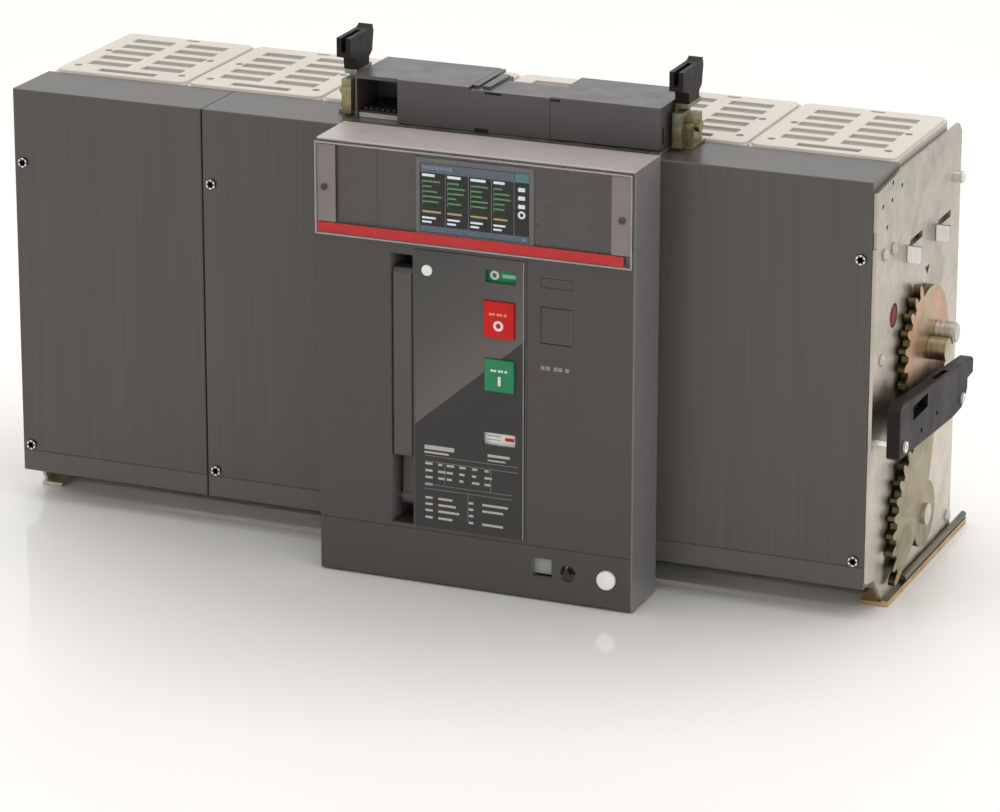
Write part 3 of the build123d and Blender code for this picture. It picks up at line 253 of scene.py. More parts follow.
# ---- metals ----
def sheet_metal(name, stops, rough, cloud=14.0, brushed=(1.0, 1.0, 0.06), painted_shade_span=None):
    """Plated sheet: cloudy passivation colours and fine scratches; when given a span, painted shade darkens
    it towards the top of those heights.
    """
    made = Finish(name, Metallic=1.0)
    clouds = made.noise(cloud, detail=3.0, rough=0.55, warp=0.8)
    lines = made.noise(900.0, detail=3.0, stretch=brushed)
    base = made.ramp(clouds, stops)
    if painted_shade_span is not None:
        # painted shade: darker towards the top over the given span
        base = made.mix(base, made.spread(made.axis("Z"), 1.05, 0.74, *painted_shade_span), 1.0, "MULTIPLY")
    made.colour(made.mix(base, made.spread(lines, 0.93, 1.05), 1.0, "MULTIPLY"))
    made.roughness(made.spread(made.noise(70.0, detail=4.0), rough - 0.07, rough + 0.10))
    made.bump(lines, 0.10)
    return made.material


def zinc_plate():
    # Painted shade: the side plate darkens from 60 mm up to its top.
    return sheet_metal("zinc_plate", [
        (0.25, tone(176, 170, 160)), (0.42, tone(196, 190, 178)), (0.52, tone(208, 196, 186)),
        (0.60, tone(190, 190, 172)), (0.74, tone(206, 188, 178))], rough=0.36,
        painted_shade_span=(60.0 * MM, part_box("side_plate_right")[1].z))


def gear_zinc(name, stops, edge_tone):
    """Plated gear: blotchy passivated face, duller cut flanks, and plain steel beyond the plate."""
    made = Finish(name, Metallic=1.0)
    plate_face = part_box("lower_gear_right")[1].x
    blotch = made.noise(19.0, detail=2.5, rough=0.45, warp=1.2)
    face = made.mix(made.ramp(blotch, stops), made.spread(made.noise(260.0), 0.95, 1.05), 1.0, "MULTIPLY")
    normal = made.node("ShaderNodeNewGeometry").outputs["Normal"]
    across = made.node("ShaderNodeSeparateXYZ", {"Vector": normal}).outputs["X"]
    flank = made.maths("LESS_THAN", made.maths("ABSOLUTE", across), 0.5)
    plated = made.mix(face, edge_tone, flank)
    beyond = made.maths("GREATER_THAN", made.maths("ABSOLUTE", made.axis("X")), plate_face + 0.3 * MM)
    turned_steel = made.ramp(made.noise(420.0, stretch=(1.0, 0.05, 0.05)),
                             [(0.3, tone(176, 172, 164)), (0.7, tone(212, 208, 200))])
    made.colour(made.mix(plated, turned_steel, beyond))
    made.roughness(made.spread(made.noise(60.0, detail=4.0), 0.26, 0.44))
    made.bump(made.noise(700.0, detail=2.0), 0.06)
    return made.material


def yellow_gear_zinc():
    return gear_zinc("yellow_gear_zinc", [
        (0.28, tone(150, 128, 84)), (0.40, tone(184, 154, 108)), (0.48, tone(186, 138, 122)),
        (0.56, tone(160, 150, 98)), (0.66, tone(190, 156, 138)), (0.80, tone(128, 128, 92))],
        tone(112, 102, 72))


def axle_zinc():
    """Turned axle ends with a dull olive-gold passivation."""
    made = Finish("axle_zinc", Metallic=1.0)
    turning = made.noise(420.0, detail=2.0, stretch=(1.0, 0.1, 0.1))
    made.colour(made.ramp(turning, [(0.3, tone(142, 130, 98)), (0.7, tone(186, 176, 146))]))
    made.roughness(made.spread(made.noise(120.0), 0.26, 0.38))
    return made.material


def faced_block():
    """Grey terminal strip whose ribbed upper half is painted near black as shade."""
    made = Finish("faced_block", Roughness=0.5)
    low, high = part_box("terminal_block")
    mottle = made.noise(60.0)
    pale = made.ramp(mottle, [(0.3, tone(146, 148, 142)), (0.7, tone(160, 162, 155))])
    # painted shade: near-black colour for the upper half
    painted_shade_black = made.ramp(mottle, [(0.3, tone(22, 20, 20)), (0.7, tone(32, 29, 28))])
    shade_painted_upper = made.maths("GREATER_THAN", made.axis("Z"), low.z + 0.5 * (high.z - low.z))
    made.colour(made.mix(pale, painted_shade_black, shade_painted_upper))
    return made.material


def rail_zinc():
    """Runner plating: orange-yellow passivation on the foot, and a dark rubbed wear rod above it."""
    made = Finish("rail_zinc", Metallic=1.0)
    low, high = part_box("rail_right")
    foot = made.ramp(made.noise(30.0, detail=3.0, warp=0.6), [
        (0.3, tone(176, 142, 92)), (0.5, tone(206, 176, 124)), (0.7, tone(168, 146, 100))])
    rod = made.ramp(made.noise(90.0, stretch=(1.0, 0.1, 1.0)), [
        (0.3, tone(84, 86, 72)), (0.7, tone(126, 122, 102))])
    above = made.maths("GREATER_THAN", made.axis("Z"), low.z + 0.46 * (high.z - low.z))
    made.colour(made.mix(foot, rod, above))
    made.roughness(made.spread(made.noise(140.0), 0.30, 0.42))
    made.bump(made.noise(600.0), 0.05)
    return made.material


def yellow_zinc():
    return sheet_metal("yellow_zinc", [
        (0.26, tone(84, 86, 66)), (0.40, tone(132, 128, 98)), (0.50, tone(160, 146, 112)),
        (0.58, tone(112, 124, 110)), (0.68, tone(160, 156, 140)), (0.80, tone(66, 66, 52))],
        rough=0.34, cloud=40.0, brushed=(1.0, 1.0, 1.0))


def pale_zinc():
    return gear_zinc("pale_zinc", [
        (0.28, tone(120, 112, 84)), (0.44, tone(152, 140, 108)), (0.56, tone(132, 128, 102)),
        (0.72, tone(160, 138, 106))], tone(104, 98, 74))


def bright_steel():
    return sheet_metal("bright_steel", [
        (0.3, tone(226, 224, 220)), (0.7, tone(246, 245, 242))], rough=0.22, cloud=60.0,
        brushed=(0.1, 1.0, 1.0))


def dark_steel():
    return sheet_metal("dark_steel", [
        (0.3, tone(96, 92, 88)), (0.7, tone(124, 120, 116))], rough=0.36, cloud=60.0)


def silvered_copper():
    return sheet_metal("silvered_copper", [
        (0.3, tone(214, 206, 196)), (0.6, tone(230, 226, 218)), (0.8, tone(218, 196, 176))],
        rough=0.26, cloud=30.0, brushed=(1.0, 0.06, 1.0))


def display_glass():
    """Nearly black display glass with a faint vertical line pattern."""
    made = Finish("display_glass", Roughness=0.16, IOR=1.5, Specular_IOR_Level=0.2)
    lines = made.noise(520.0, detail=1.0, stretch=(1.0, 1.0, 0.01))
    made.colour(made.ramp(lines, [(0.35, tone(8, 8, 8)), (0.65, tone(18, 18, 16))]))
    return made.material


def make_finishes():
    return {
        "zinc_plate": zinc_plate(),
        "pale_zinc": pale_zinc(),
        "yellow_zinc": yellow_zinc(),
        "bright_steel": bright_steel(),
        "dark_steel": dark_steel(),
        "polished_zinc": glossy_paint("polished_zinc", tone(236, 235, 228), 0.25, Metallic=0.2),
        "silvered_copper": silvered_copper(),
        "pole_moulding": moulded_plastic("pole_moulding", tone(226, 222, 214), 0.55, 500.0, 0.2),
        "chute_plastic": moulded_plastic("chute_plastic", tone(202, 195, 184), 0.5, 500.0, 0.05, 0.05),
        "cover_plastic": cover_plastic(),
        # the shield's upward faces take a painted top sheen and its right side a painted side light
        "shield_plastic": moulded_plastic("shield_plastic", tone(50, 47, 44), 0.31, 180.0, 0.006, 0.04,
                                          painted_top_sheen=tone(168, 158, 155), IOR=SHEEN_IOR),
        "facia_film": facia_film(),
        "bezel_plastic": moulded_plastic("bezel_plastic", tone(98, 94, 95), 0.34, 180.0, 0.006, 0.05,
                                         Specular_IOR_Level=0.3),
        "display_glass": display_glass(),
        "box_plastic": moulded_plastic("box_plastic", tone(64, 61, 61), 0.32, 180.0, 0.01, 0.05,
                                       IOR=SHEEN_IOR),
        "black_plastic": moulded_plastic("black_plastic", tone(18, 14, 13), 0.5, 700.0, 0.04, 0.12,
                                         Specular_IOR_Level=0.25),
        "grey_plastic": moulded_plastic("grey_plastic", tone(150, 152, 146), 0.5, 1100.0, 0.10),
        "lever_plastic": moulded_plastic("lever_plastic", tone(72, 69, 66), 0.36, 500.0, 0.01, 0.05),
        "clear_plastic": clear_plastic("clear_plastic", 0.04, (0.36, 0.34, 0.34, 1.0)),
        "clear_screw": glossy_paint("clear_screw", tone(66, 63, 62), 0.2),
        "plug_red": glossy_paint("plug_red", tone(116, 26, 18), 0.4, Specular_IOR_Level=0.25),
        "faced_block": faced_block(),
        "axle_zinc": axle_zinc(),
        # painted highlight for the front faces of the bent tabs
        "tab_painted_highlight": glossy_paint("tab_painted_highlight", tone(250, 249, 244), 0.5),
        "blackened_steel": glossy_paint("blackened_steel", tone(24, 22, 20), 0.4, Metallic=0.4),
        "red_plastic": glossy_paint("red_plastic", tone(190, 26, 24), 0.4, Specular_IOR_Level=0.2),
        "green_plastic": glossy_paint("green_plastic", tone(38, 124, 84), 0.36, Specular_IOR_Level=0.25),
        "white_plastic": glossy_paint("white_plastic", tone(226, 226, 218), 0.3),
        "pale_ink": ink("pale_ink", tone(172, 168, 163)),
        "dull_ink": ink("dull_ink", tone(132, 129, 126)),
        "bright_ink": ink("bright_ink", tone(226, 214, 210)),
        "rose_ink": ink("rose_ink", tone(222, 140, 134)),
        "mint_ink": ink("mint_ink", tone(128, 190, 156)),
        "screen_slate": ink("screen_slate", tone(66, 78, 92), 0.25),
        "screen_teal": ink("screen_teal", tone(58, 104, 108), 0.25),
        "screen_grey": ink("screen_grey", tone(92, 96, 100), 0.1),
        "screen_green": ink("screen_green", tone(70, 122, 74), 0.3),
        "screen_amber": ink("screen_amber", tone(150, 138, 82), 0.3),
        "screen_white": ink("screen_white", tone(196, 204, 214), 0.35),
        # painted edge highlight: denser, paler clear plastic
        "clear_edge_highlight": clear_plastic("clear_edge_highlight", 0.5, (0.5, 0.47, 0.47, 1.0)),
        "frosted_strip": moulded_plastic("frosted_strip", tone(124, 115, 114), 0.4, 500.0, 0.01, 0.05),
        # painted shade: slat plastic darker than the chute plastic
        "louvre_shade_plastic": moulded_plastic("louvre_shade_plastic", tone(150, 143, 133), 0.55, 500.0, 0.05, 0.05),
    }


def dress_frame(finishes):
    """Give every CAD node the finish of its own material slot, or its own variant of it."""
    gear = yellow_gear_zinc()
    runner = rail_zinc()
    variants = {"upper_gear_left": gear, "upper_gear_right": gear, "rail_right": runner,
                "rail_left": finishes["zinc_plate"], "gear_axles": finishes["axle_zinc"],
                "terminal_block": finishes["faced_block"],
                "racking_spindle": finishes["blackened_steel"],
                "cover_screws": finishes["blackened_steel"]}
    for row in frame["record"]["subparts"]:
        node = frame["nodes"][row["node"]]
        finish = variants.get(row["node"], finishes[row["material_slot"]])
        node.data.materials.clear()
        node.data.materials.append(finish)


# ---- mesh helpers ----
BODY = "breaker_body"
PLATE_PROUD = 0.15 * MM
TURN_SEGMENTS = 40


def add_piece(name, mesh_work, body, finish, smooth=False):
    """Finish a bmesh as one piece that rides on a body."""
    bmesh.ops.recalc_face_normals(mesh_work, faces=mesh_work.faces)
    mesh = bpy.data.meshes.new(name)
    mesh_work.to_mesh(mesh)
    mesh_work.free()
    mesh.materials.append(finish)
    for face in mesh.polygons:
        face.use_smooth = smooth
    piece = bpy.data.objects.new(name, mesh)
    bpy.context.scene.collection.objects.link(piece)
    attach(piece, body)
    return piece


def slab(work, low, high, corner=0.0, axis=1):
    """A plate between two corners; the edges along one axis are rounded."""
    size = Vector(high) - Vector(low)
    middle = (Vector(high) + Vector(low)) / 2
    made = bmesh.ops.create_cube(work, size=1.0)["verts"]
    for vert in made:
        vert.co = Vector((vert.co.x * size.x, vert.co.y * size.y, vert.co.z * size.z)) + middle
    if corner:
        edges = {edge for vert in made for edge in vert.link_edges}
        along = [e for e in edges if abs((e.verts[0].co - e.verts[1].co).normalized()[axis]) > 0.9]
        bmesh.ops.bevel(work, geom=along, offset=corner, segments=3, affect="EDGES", profile=0.5)


def turned(work, centre, axis, profile):
    """A solid of revolution: (distance along the axis, radius) points, closed at both ends."""
    side_a, side_b = [(1, 2), (2, 0), (0, 1)][axis]
    rings = []
    for along, radius in profile:
        ring = []
        for step in range(TURN_SEGMENTS):
            angle = 2 * pi * step / TURN_SEGMENTS
            spot = Vector(centre)
            spot[axis] += along
            spot[side_a] += radius * cos(angle)
            spot[side_b] += radius * sin(angle)
            ring.append(work.verts.new(spot))
        rings.append(ring)
    for first, second in zip(rings, rings[1:]):
        for step in range(TURN_SEGMENTS):
            following = (step + 1) % TURN_SEGMENTS
            work.faces.new((first[step], first[following], second[following], second[step]))
    work.faces.new(rings[0])
    work.faces.new(rings[-1])


def hoop(work, x, z, outer, inner, front, back):
    """A flat ring that faces the front."""
    corners = ((outer, back), (outer, front), (inner, front), (inner, back))
    rings = []
    for step in range(TURN_SEGMENTS):
        angle = 2 * pi * step / TURN_SEGMENTS
        rings.append([work.verts.new((x + r * cos(angle), y, z + r * sin(angle))) for r, y in corners])
    for step, ring in enumerate(rings):
        following = rings[(step + 1) % TURN_SEGMENTS]
        for corner in range(4):
            beside = (corner + 1) % 4
            work.faces.new((ring[corner], ring[beside], following[beside], following[corner]))


def prism(work, first, second):
    """A closed solid between two matching outlines."""
    ends = [[work.verts.new(corner) for corner in outline] for outline in (first, second)]
    for end in ends:
        work.faces.new(end)
    for step in range(len(first)):
        following = (step + 1) % len(first)
        work.faces.new((ends[0][step], ends[0][following], ends[1][following], ends[1][step]))


def flat_ring(work, x, z, outer, inner, face):
    """A printed or inlaid ring that stands just proud of a front face."""
    hoop(work, x, z, outer, inner, face - PLATE_PROUD, face + PLATE_PROUD)


def dome(rise, radius, steps=6):
    """Profile of a rounded head of the given height and radius."""
    quarter = [pi / 2 * step / steps for step in range(steps + 1)]
    return [(rise * sin(angle), max(radius * cos(angle), radius * 0.03)) for angle in quarter]


def printed(name, node, rects, finish, body=BODY, corner=0.25 * MM):
    """Raised print on the front face of a node: (x0, x1, z0, z1) fields from its low corner, in mm."""
    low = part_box(node)[0]
    work = bmesh.new()
    for x0, x1, z0, z1 in rects:
        slab(work, (low.x + x0 * MM, low.y - PLATE_PROUD, low.z + z0 * MM),
             (low.x + x1 * MM, low.y + PLATE_PROUD, low.z + z1 * MM), corner)
    return add_piece(name, work, body, finish)


def islands(node):
    """Boxes of the separate solids that share one node, sorted by place."""
    work = bmesh.new()
    work.from_mesh(frame["nodes"][node].data)
    waiting = set(work.verts)
    boxes = []
    while waiting:
        front = [waiting.pop()]
        group = []
        while front:
            vert = front.pop()
            group.append(vert.co.copy())
            for edge in vert.link_edges:
                other = edge.other_vert(vert)
                if other in waiting:
                    waiting.discard(other)
                    front.append(other)
        low = Vector([min(co[i] for co in group) for i in range(3)])
        high = Vector([max(co[i] for co in group) for i in range(3)])
        boxes.append((low, high))
    work.free()
    return sorted(boxes, key=lambda box: (*box[0], *box[1]))


# ---- print on the facia and the controls ----
def ink(name, colour, glow=0.0):
    """Printed ink or lit segments, with a slightly broken surface."""
    made = Finish(name, Emission_Color=colour, Emission_Strength=glow, Roughness=0.5)
    broken = made.noise(900.0, detail=2.0)
    made.colour(made.ramp(broken, [(0.3, scaled(colour, 0.85)), (0.7, scaled(colour, 1.1))]))
    return made.material


RULE = 0.35
MARK_HEIGHT = 1.9
MARK_DROP = 2.0
TABLE_ROWS_HIGH = (56.2, 50.2, 44.4)
TABLE_ROWS_LOW = (38.3, 26.7, 21.2, 15.7, 9.7)
TABLE_COLUMNS = (20.5, 28.0, 39.2, 50.4, 61.5)


def table_mark(x, length, top):
    """One dash of the rating table."""
    return (x, x + length, top - MARK_DROP, top - MARK_DROP + MARK_HEIGHT)


def rating_table(finishes):
    """Ruled table of small neutral marks in place of the printed ratings."""
    flat_rules = [(9, 91, z, z + RULE) for z in (61.7, 56.9)]
    flat_rules += [(8, 86, z, z + RULE) for z in (36.9, 33.1)]
    upright_rules = [(26.1, 26.1 + RULE, 38.7, 56.9), (66.6, 66.6 + RULE, 37.2, 56.9),
                     (46.6, 46.6 + RULE, 9.4, 33.1)]
    printed("rating_table_rules", "facia_panel", flat_rules + upright_rules,
            finishes["dull_ink"], corner=0.0)
    heads = [(8.4, 34.6, 67.4, 71.0), (8.4, 29.9, 64.0, 65.6), (64.2, 83.7, 67.8, 70.0),
             (64.2, 80.0, 64.2, 65.4)]
    marks = [table_mark(9.0, 6.5, top) for top in TABLE_ROWS_HIGH + TABLE_ROWS_LOW]
    for row, top in enumerate(TABLE_ROWS_HIGH):
        marks += [table_mark(x, 3.6 + (row * 7 + column * 3) % 4, top)
                  for column, x in enumerate(TABLE_COLUMNS)]
    for row, top in enumerate(TABLE_ROWS_LOW[1:]):
        marks += [table_mark(20.5, 12.5 + 3 * (row % 3), top), table_mark(47.6, 4.0, top)]
        if row != 2:
            marks.append(table_mark(59.5, 22.4 - 4 * (row % 2), top))
    printed("rating_table_marks", "facia_panel", heads + marks, finishes["pale_ink"],
            corner=0.2 * MM)


def word_bars(start, level, length, height):
    """A row of short dashes that stands for a printed word."""
    shares = (0.0, 0.17, 0.42, 0.58, 0.81)
    return [(start + share * length, start + (share + 0.13) * length, level, level + height)
            for share in shares]


def button_symbols(finishes):
    """Circle and bar symbols on the push buttons, with neutral bars for their words."""
    low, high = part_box("off_button")
    work = bmesh.new()
    flat_ring(work, (low.x + high.x) / 2, low.z + 10.5 * MM, 4.3 * MM, 2.2 * MM, low.y)
    add_piece("off_button_ring", work, "off_push", finishes["bright_ink"])
    centre = (high.x - low.x) / MM / 2
    printed("off_button_word_bar", "off_button", word_bars(centre - 8, 19.0, 16.0, 2.0),
            finishes["rose_ink"], "off_push")
    on_bar = (centre - 1.3, centre + 1.1, 5.4, 13.4)
    printed("on_button_bars", "on_button", [on_bar] + word_bars(centre - 7.5, 17.0, 15.0, 2.0),
            finishes["bright_ink"], "on_push")


FLAG_TRAVEL = 11.6


def flag_symbols(finishes):
    """Both fields of the open/closed flag and of the spring flag: one at rest, one a travel higher."""
    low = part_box("state_flag")[0]
    work = bmesh.new()
    flat_ring(work, low.x + 7.6 * MM, low.z + 6.0 * MM, 3.8 * MM, 2.0 * MM, low.y)
    add_piece("state_flag_ring", work, "state_indicator", finishes["bright_ink"])
    printed("state_flag_bar", "state_flag", [(14.5, 26.0, 4.6, 7.6)],
            finishes["mint_ink"], "state_indicator")
    printed("spring_flag_marks", "spring_flag", [(4.0, 15.0, 4.4, 5.0), (4.0, 15.0, 7.4, 8.0)],
            finishes["dull_ink"], "spring_indicator", corner=0.0)
    printed("state_flag_closed_field", "state_flag",
            [(0.6, 27.0, FLAG_TRAVEL + 0.6, FLAG_TRAVEL + 11.0)],
            finishes["red_plastic"], "state_indicator")
    printed("spring_flag_charged_bar", "spring_flag",
            [(5.0, 24.0, FLAG_TRAVEL + 4.4, FLAG_TRAVEL + 7.6)],
            finishes["dull_ink"], "spring_indicator")
    printed("spring_flag_red_bar", "spring_flag", [(19.0, 27.0, 4.6, 7.4)],
            finishes["red_plastic"], "spring_indicator")


def shield_marks(finishes):
    """Dark ring round the seal plug, and a neutral bar for the word under the reset button."""
    low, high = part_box("seal_plug")
    centre = (low + high) / 2
    radius = (high.x - low.x) / 2
    work = bmesh.new()
    flat_ring(work, centre.x, centre.z, radius + 1.5 * MM, radius - 0.4 * MM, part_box("front_shield")[0].y)
    add_piece("seal_plug_dark_ring", work, BODY, finishes["black_plastic"])
    printed("shield_word_bar", "front_shield", word_bars(197.0, 197.0, 26.0, 3.4),
            finishes["dull_ink"])


def facia_edge(finishes):
    """Pale cut edge down the right side of the front film."""
    low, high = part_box("facia_panel")
    wide, tall = (high.x - low.x) / MM, (high.z - low.z) / MM
    printed("facia_edge_line", "facia_panel", [(wide - 1.1, wide - 0.2, 0.4, tall - 0.4)],
            finishes["dull_ink"], corner=0.0)


# ---- display content ----
COLUMN_SHARES = (0.0, 0.232, 0.446, 0.656, 0.862, 1.0)
HEADER_SHARE = 0.865
FOOTER_SHARE = 0.095
ICON_SHARE = 0.40
SCREEN_EDGE = 0.4


def on_screen(name, rects, finish):
    """Lit fields on the front of the display."""
    printed(name, "display_screen", rects, finish, corner=0.0)


def display_content(finishes):
    """A neutral bar-graph page: header, four columns, an icon column and a footer."""
    low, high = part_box("display_screen")
    wide = (high.x - low.x) / MM
    tall = (high.z - low.z) / MM
    head = tall * HEADER_SHARE
    foot = tall * FOOTER_SHARE
    edges = [wide * share for share in COLUMN_SHARES]
    top = tall - SCREEN_EDGE
    on_screen("screen_header", [(SCREEN_EDGE, edges[4], head, top)], finishes["screen_slate"])
    on_screen("screen_corner_block", [(edges[4] + 0.5, wide - SCREEN_EDGE, head, top)],
              finishes["screen_teal"])
    on_screen("screen_footer", [(SCREEN_EDGE, wide - SCREEN_EDGE, SCREEN_EDGE, foot)],
              finishes["screen_slate"])
    on_screen("screen_dividers", [(x - 0.25, x + 0.25, foot, head) for x in edges[1:5]],
              finishes["screen_grey"])
    screen_bars(finishes, edges, head, foot)
    screen_icons(finishes, low, tall, (edges[4] + edges[5]) / 2)


def screen_bars(finishes, edges, head, foot):
    """Green bars of uneven length, an amber line and pale word marks in each column."""
    green, amber, pale = [], [], []
    for column, (x0, x1) in enumerate(zip(edges[:4], edges[1:5])):
        left = x0 + 1.8
        span = x1 - x0 - 3.6
        pale.append((left, left + span * (0.6 + 0.1 * (column % 3)), head - 3.4, head - 1.2))
        for row in range(5):
            z = head - 8.0 - 4.2 * row
            length = span * (0.35 + 0.6 * abs(sin(1.7 * column + 2.3 * row + 1.0)))
            green.append((left, left + length, z, z + 1.3))
            green.append((left, left + 0.5, z - 1.8, z + 1.3))
        amber.append((left, left + span * (0.9 - 0.15 * (column % 2)), foot + 11.0, foot + 12.6))
        for row in range(2):
            z = foot + 2.4 + 3.4 * row
            pale.append((left, left + span * (0.45 + 0.2 * row), z, z + 1.6))
    for row in range(3):
        z = head - 7.5 - 7.0 * row
        pale.append((edges[4] + 3.6, edges[4] + 9.4, z, z + 3.2))
    pale += [(1.8, 28.0, head + 2.6, head + 5.4), (34.0, 47.0, foot - 3.8, foot - 2.0)]
    on_screen("screen_green_bars", green, finishes["screen_green"])
    on_screen("screen_amber_bars", amber, finishes["screen_amber"])
    on_screen("screen_pale_marks", pale, finishes["screen_white"])


def screen_icons(finishes, low, tall, column):
    """Ring icon and a small dot in the icon column."""
    work = bmesh.new()
    x = low.x + column * MM
    dot = 1.1 * MM
    flat_ring(work, x, low.z + tall * ICON_SHARE * MM, 3.2 * MM, 1.6 * MM, low.y)
    turned(work, (x + 2.0 * MM, low.y - PLATE_PROUD, low.z + 2.6 * MM), 1,
           [(0.0, dot), (2 * PLATE_PROUD, dot)])
    add_piece("screen_round_icon", work, BODY, finishes["screen_white"])


# ---- clear cover edges ----
def clear_cover_trim(finishes):
    """Painted highlights along the moulded edges of the clear cover, as denser, paler clear plastic, and
    its two frosted end strips.
    """
    low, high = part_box("clear_cover")
    rim = 1.1 * MM
    skin = 0.25 * MM
    front = low.y + skin
    back = front + rim
    work = bmesh.new()
    # painted highlight: four rims along the cover's edges
    slab(work, (low.x + skin, front, low.z + skin), (high.x - skin, back, low.z + skin + rim))
    slab(work, (low.x + skin, front, high.z - skin - rim), (high.x - skin, back, high.z - skin))
    slab(work, (low.x + skin, front, low.z + rim), (low.x + skin + rim, back, high.z - rim))
    slab(work, (high.x - skin - rim, front, low.z + rim), (high.x - skin, back, high.z - rim))
    add_piece("clear_cover_painted_edge_highlights", work, "display_cover", finishes["clear_edge_highlight"])
    strip = 16.0 * MM
    inset = 2.0 * MM
    inner = low.y + 1.9 * MM
    work = bmesh.new()
    for x0 in (low.x + inset, high.x - inset - strip):
        slab(work, (x0, inner, low.z + 11.0 * MM), (x0 + strip, inner + 0.4 * MM, high.z - 2.4 * MM),
             0.8 * MM)
    add_piece("clear_cover_end_strips", work, "display_cover", finishes["frosted_strip"])


# ---- arc chutes ----
SLOT_ROWS = 5
SLOT_PITCH = 21.0 * MM
FIRST_SLOT = 34.5 * MM
SLOT_OFFSET = 25.5 * MM
LOUVRE_DROP = 1.3 * MM


def chute_louvres(finishes):
    """Slanting slats that close the ventilation slots of every arc chute, in a darker plastic painted as
    the shade inside the slots.
    """
    for number in range(1, 7):
        low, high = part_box(f"arc_chute_{number}")
        middle = (low.x + high.x) / 2
        work = bmesh.new()
        for side in (-1, 1):
            for row in range(SLOT_ROWS):
                y = low.y + FIRST_SLOT + SLOT_PITCH * row
                louvre(work, middle + side * SLOT_OFFSET, y, high.z - LOUVRE_DROP)
        add_piece(f"arc_chute_louvres_{number}", work, BODY, finishes["louvre_shade_plastic"])


def louvre(work, x, y, z):
    """One slat, leaning back under its slot."""
    half_x = 19.5 * MM
    reach = 6.6 * MM
    fall = 2.6 * MM
    thick = 1.0 * MM
    corners = [(-reach, -fall), (reach, 0.0), (reach, -thick), (-reach, -fall - thick)]
    prism(work, *[[(x + end * half_x, y + dy, z + dz) for dy, dz in corners] for end in (-1, 1)])


# ---- side plates ----
GEAR_AXIS = (27.0 * MM, 52.0 * MM)
GEAR_SWEEP = 92.0 * MM
HEADROOM = 2.0 * MM
SWEPT_HEADROOM = 0.1 * MM
TAB_REACH = 12.0 * MM
TAB_HEIGHT = 14.0 * MM
TABS = ((-17.0 * MM, 279.5 * MM), (61.0 * MM, 276.5 * MM))
ARROW = ((40.5, 254.0), (35.0, 261.0), (46.0, 261.0))
PLUG_PLACE = (-48.5 * MM, 244.0 * MM)
PLUG_PROFILE = ((-2.0, 8.6), (-0.4, 9.0), (-0.4, 7.0), (0.2, 6.4), (0.5, 4.0), (0.5, 0.4))


def plate_face():
    """Distance from the middle to the outer face of a side plate, short of its bent tabs."""
    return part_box("side_plate_right")[1].x - TAB_REACH


def side_details(finishes):
    """Rivet heads, a sealing plug, painted highlights on the bent tabs and an arrow mark on the side
    plates.
    """
    rivet_heads(finishes)
    add_plug(finishes)
    painted_tab_highlights(finishes)
    arrow_mark(finishes)


def rivet_heads(finishes):
    """Rounded heads over the rivets and stud ends, low where the lower gear sweeps past."""
    lower_low, lower_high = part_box("lower_gear_right")
    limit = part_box("upper_gear_right")[1].x
    work = bmesh.new()
    for low, high in islands("side_plate_fasteners"):
        length = high.x - low.x
        middle = (low + high) / 2
        side = 1 if middle.x > 0 else -1
        outer = high.x if side > 0 else low.x
        radius = (high.y - low.y) / 2
        swept = hypot(middle.y - GEAR_AXIS[0], middle.z - GEAR_AXIS[1]) < GEAR_SWEEP
        rise = min(SWEPT_HEADROOM if swept else HEADROOM, limit - abs(outer))
        under_gear = lower_low.y < middle.y < lower_high.y and lower_low.z < middle.z < lower_high.z
        if length < 2 * MM and not under_gear:
            add_head(work, (outer, middle.y, middle.z), side, 1.6 * MM, rise, radius + 0.5 * MM)
        elif 3 * MM < length < 12 * MM:
            add_head(work, (outer, middle.y, middle.z), side, 2.0 * MM, 0.7 * rise, radius + 0.3 * MM)
    add_piece("side_rivet_heads", work, BODY, finishes["polished_zinc"], smooth=True)


def add_head(work, centre, side, sunk, rise, radius):
    """One rounded head that starts below a face and stands proud of it."""
    profile = [(side * (along - sunk), r) for along, r in dome(sunk + rise, radius)]
    turned(work, centre, 0, profile)


def add_plug(finishes):
    """Red sealing plug pressed into the round inspection hole of the right side."""
    work = bmesh.new()
    profile = [(along * MM, radius * MM) for along, radius in PLUG_PROFILE]
    turned(work, (plate_face(), *PLUG_PLACE), 0, profile)
    add_piece("inspection_hole_plug", work, BODY, finishes["plug_red"], smooth=True)


def painted_tab_highlights(finishes):
    """Painted highlights: bright white faces on the four bent tabs, which are the same plated sheet as the
    plates.
    """
    face = plate_face()
    work = bmesh.new()
    for side in (-1, 1):
        x0, x1 = sorted((side * (face + 0.6 * MM), side * (face + TAB_REACH - 0.2 * MM)))
        for y, z in TABS:
            slab(work, (x0, y - 0.5 * MM, z + 0.2 * MM),
                 (x1, y + 0.3 * MM, z + TAB_HEIGHT - 0.2 * MM), 1.0 * MM)
    add_piece("side_tab_painted_highlights", work, BODY, finishes["tab_painted_highlight"])


def arrow_mark(finishes):
    """Small dark arrow above the upper gear on the right side."""
    face = plate_face()
    work = bmesh.new()
    prism(work, *[[(face + end * PLATE_PROUD, y * MM, z * MM) for y, z in ARROW] for end in (1, -1)])
    add_piece("side_arrow_mark", work, BODY, finishes["black_plastic"])


# ---- pole cover screws ----
def screw_details(finishes):
    """Bright socket rims on the blackened heads of the pole cover screws."""
    work = bmesh.new()
    for low, high in islands("cover_screws"):
        middle = (low + high) / 2
        flat_ring(work, middle.x, middle.z, 2.4 * MM, 1.0 * MM, low.y)
    add_piece("cover_screw_socket_rims", work, BODY, finishes["polished_zinc"])


# ---- rear of the poles ----
COLLAR_GAP = 2.0 * MM
COLLAR_WIDTH = 3.0 * MM
COLLAR_PROUD = 2.2 * MM
LEAST_TERMINAL = 40.0 * MM
REAR_SCREW_INSET = 9.0 * MM


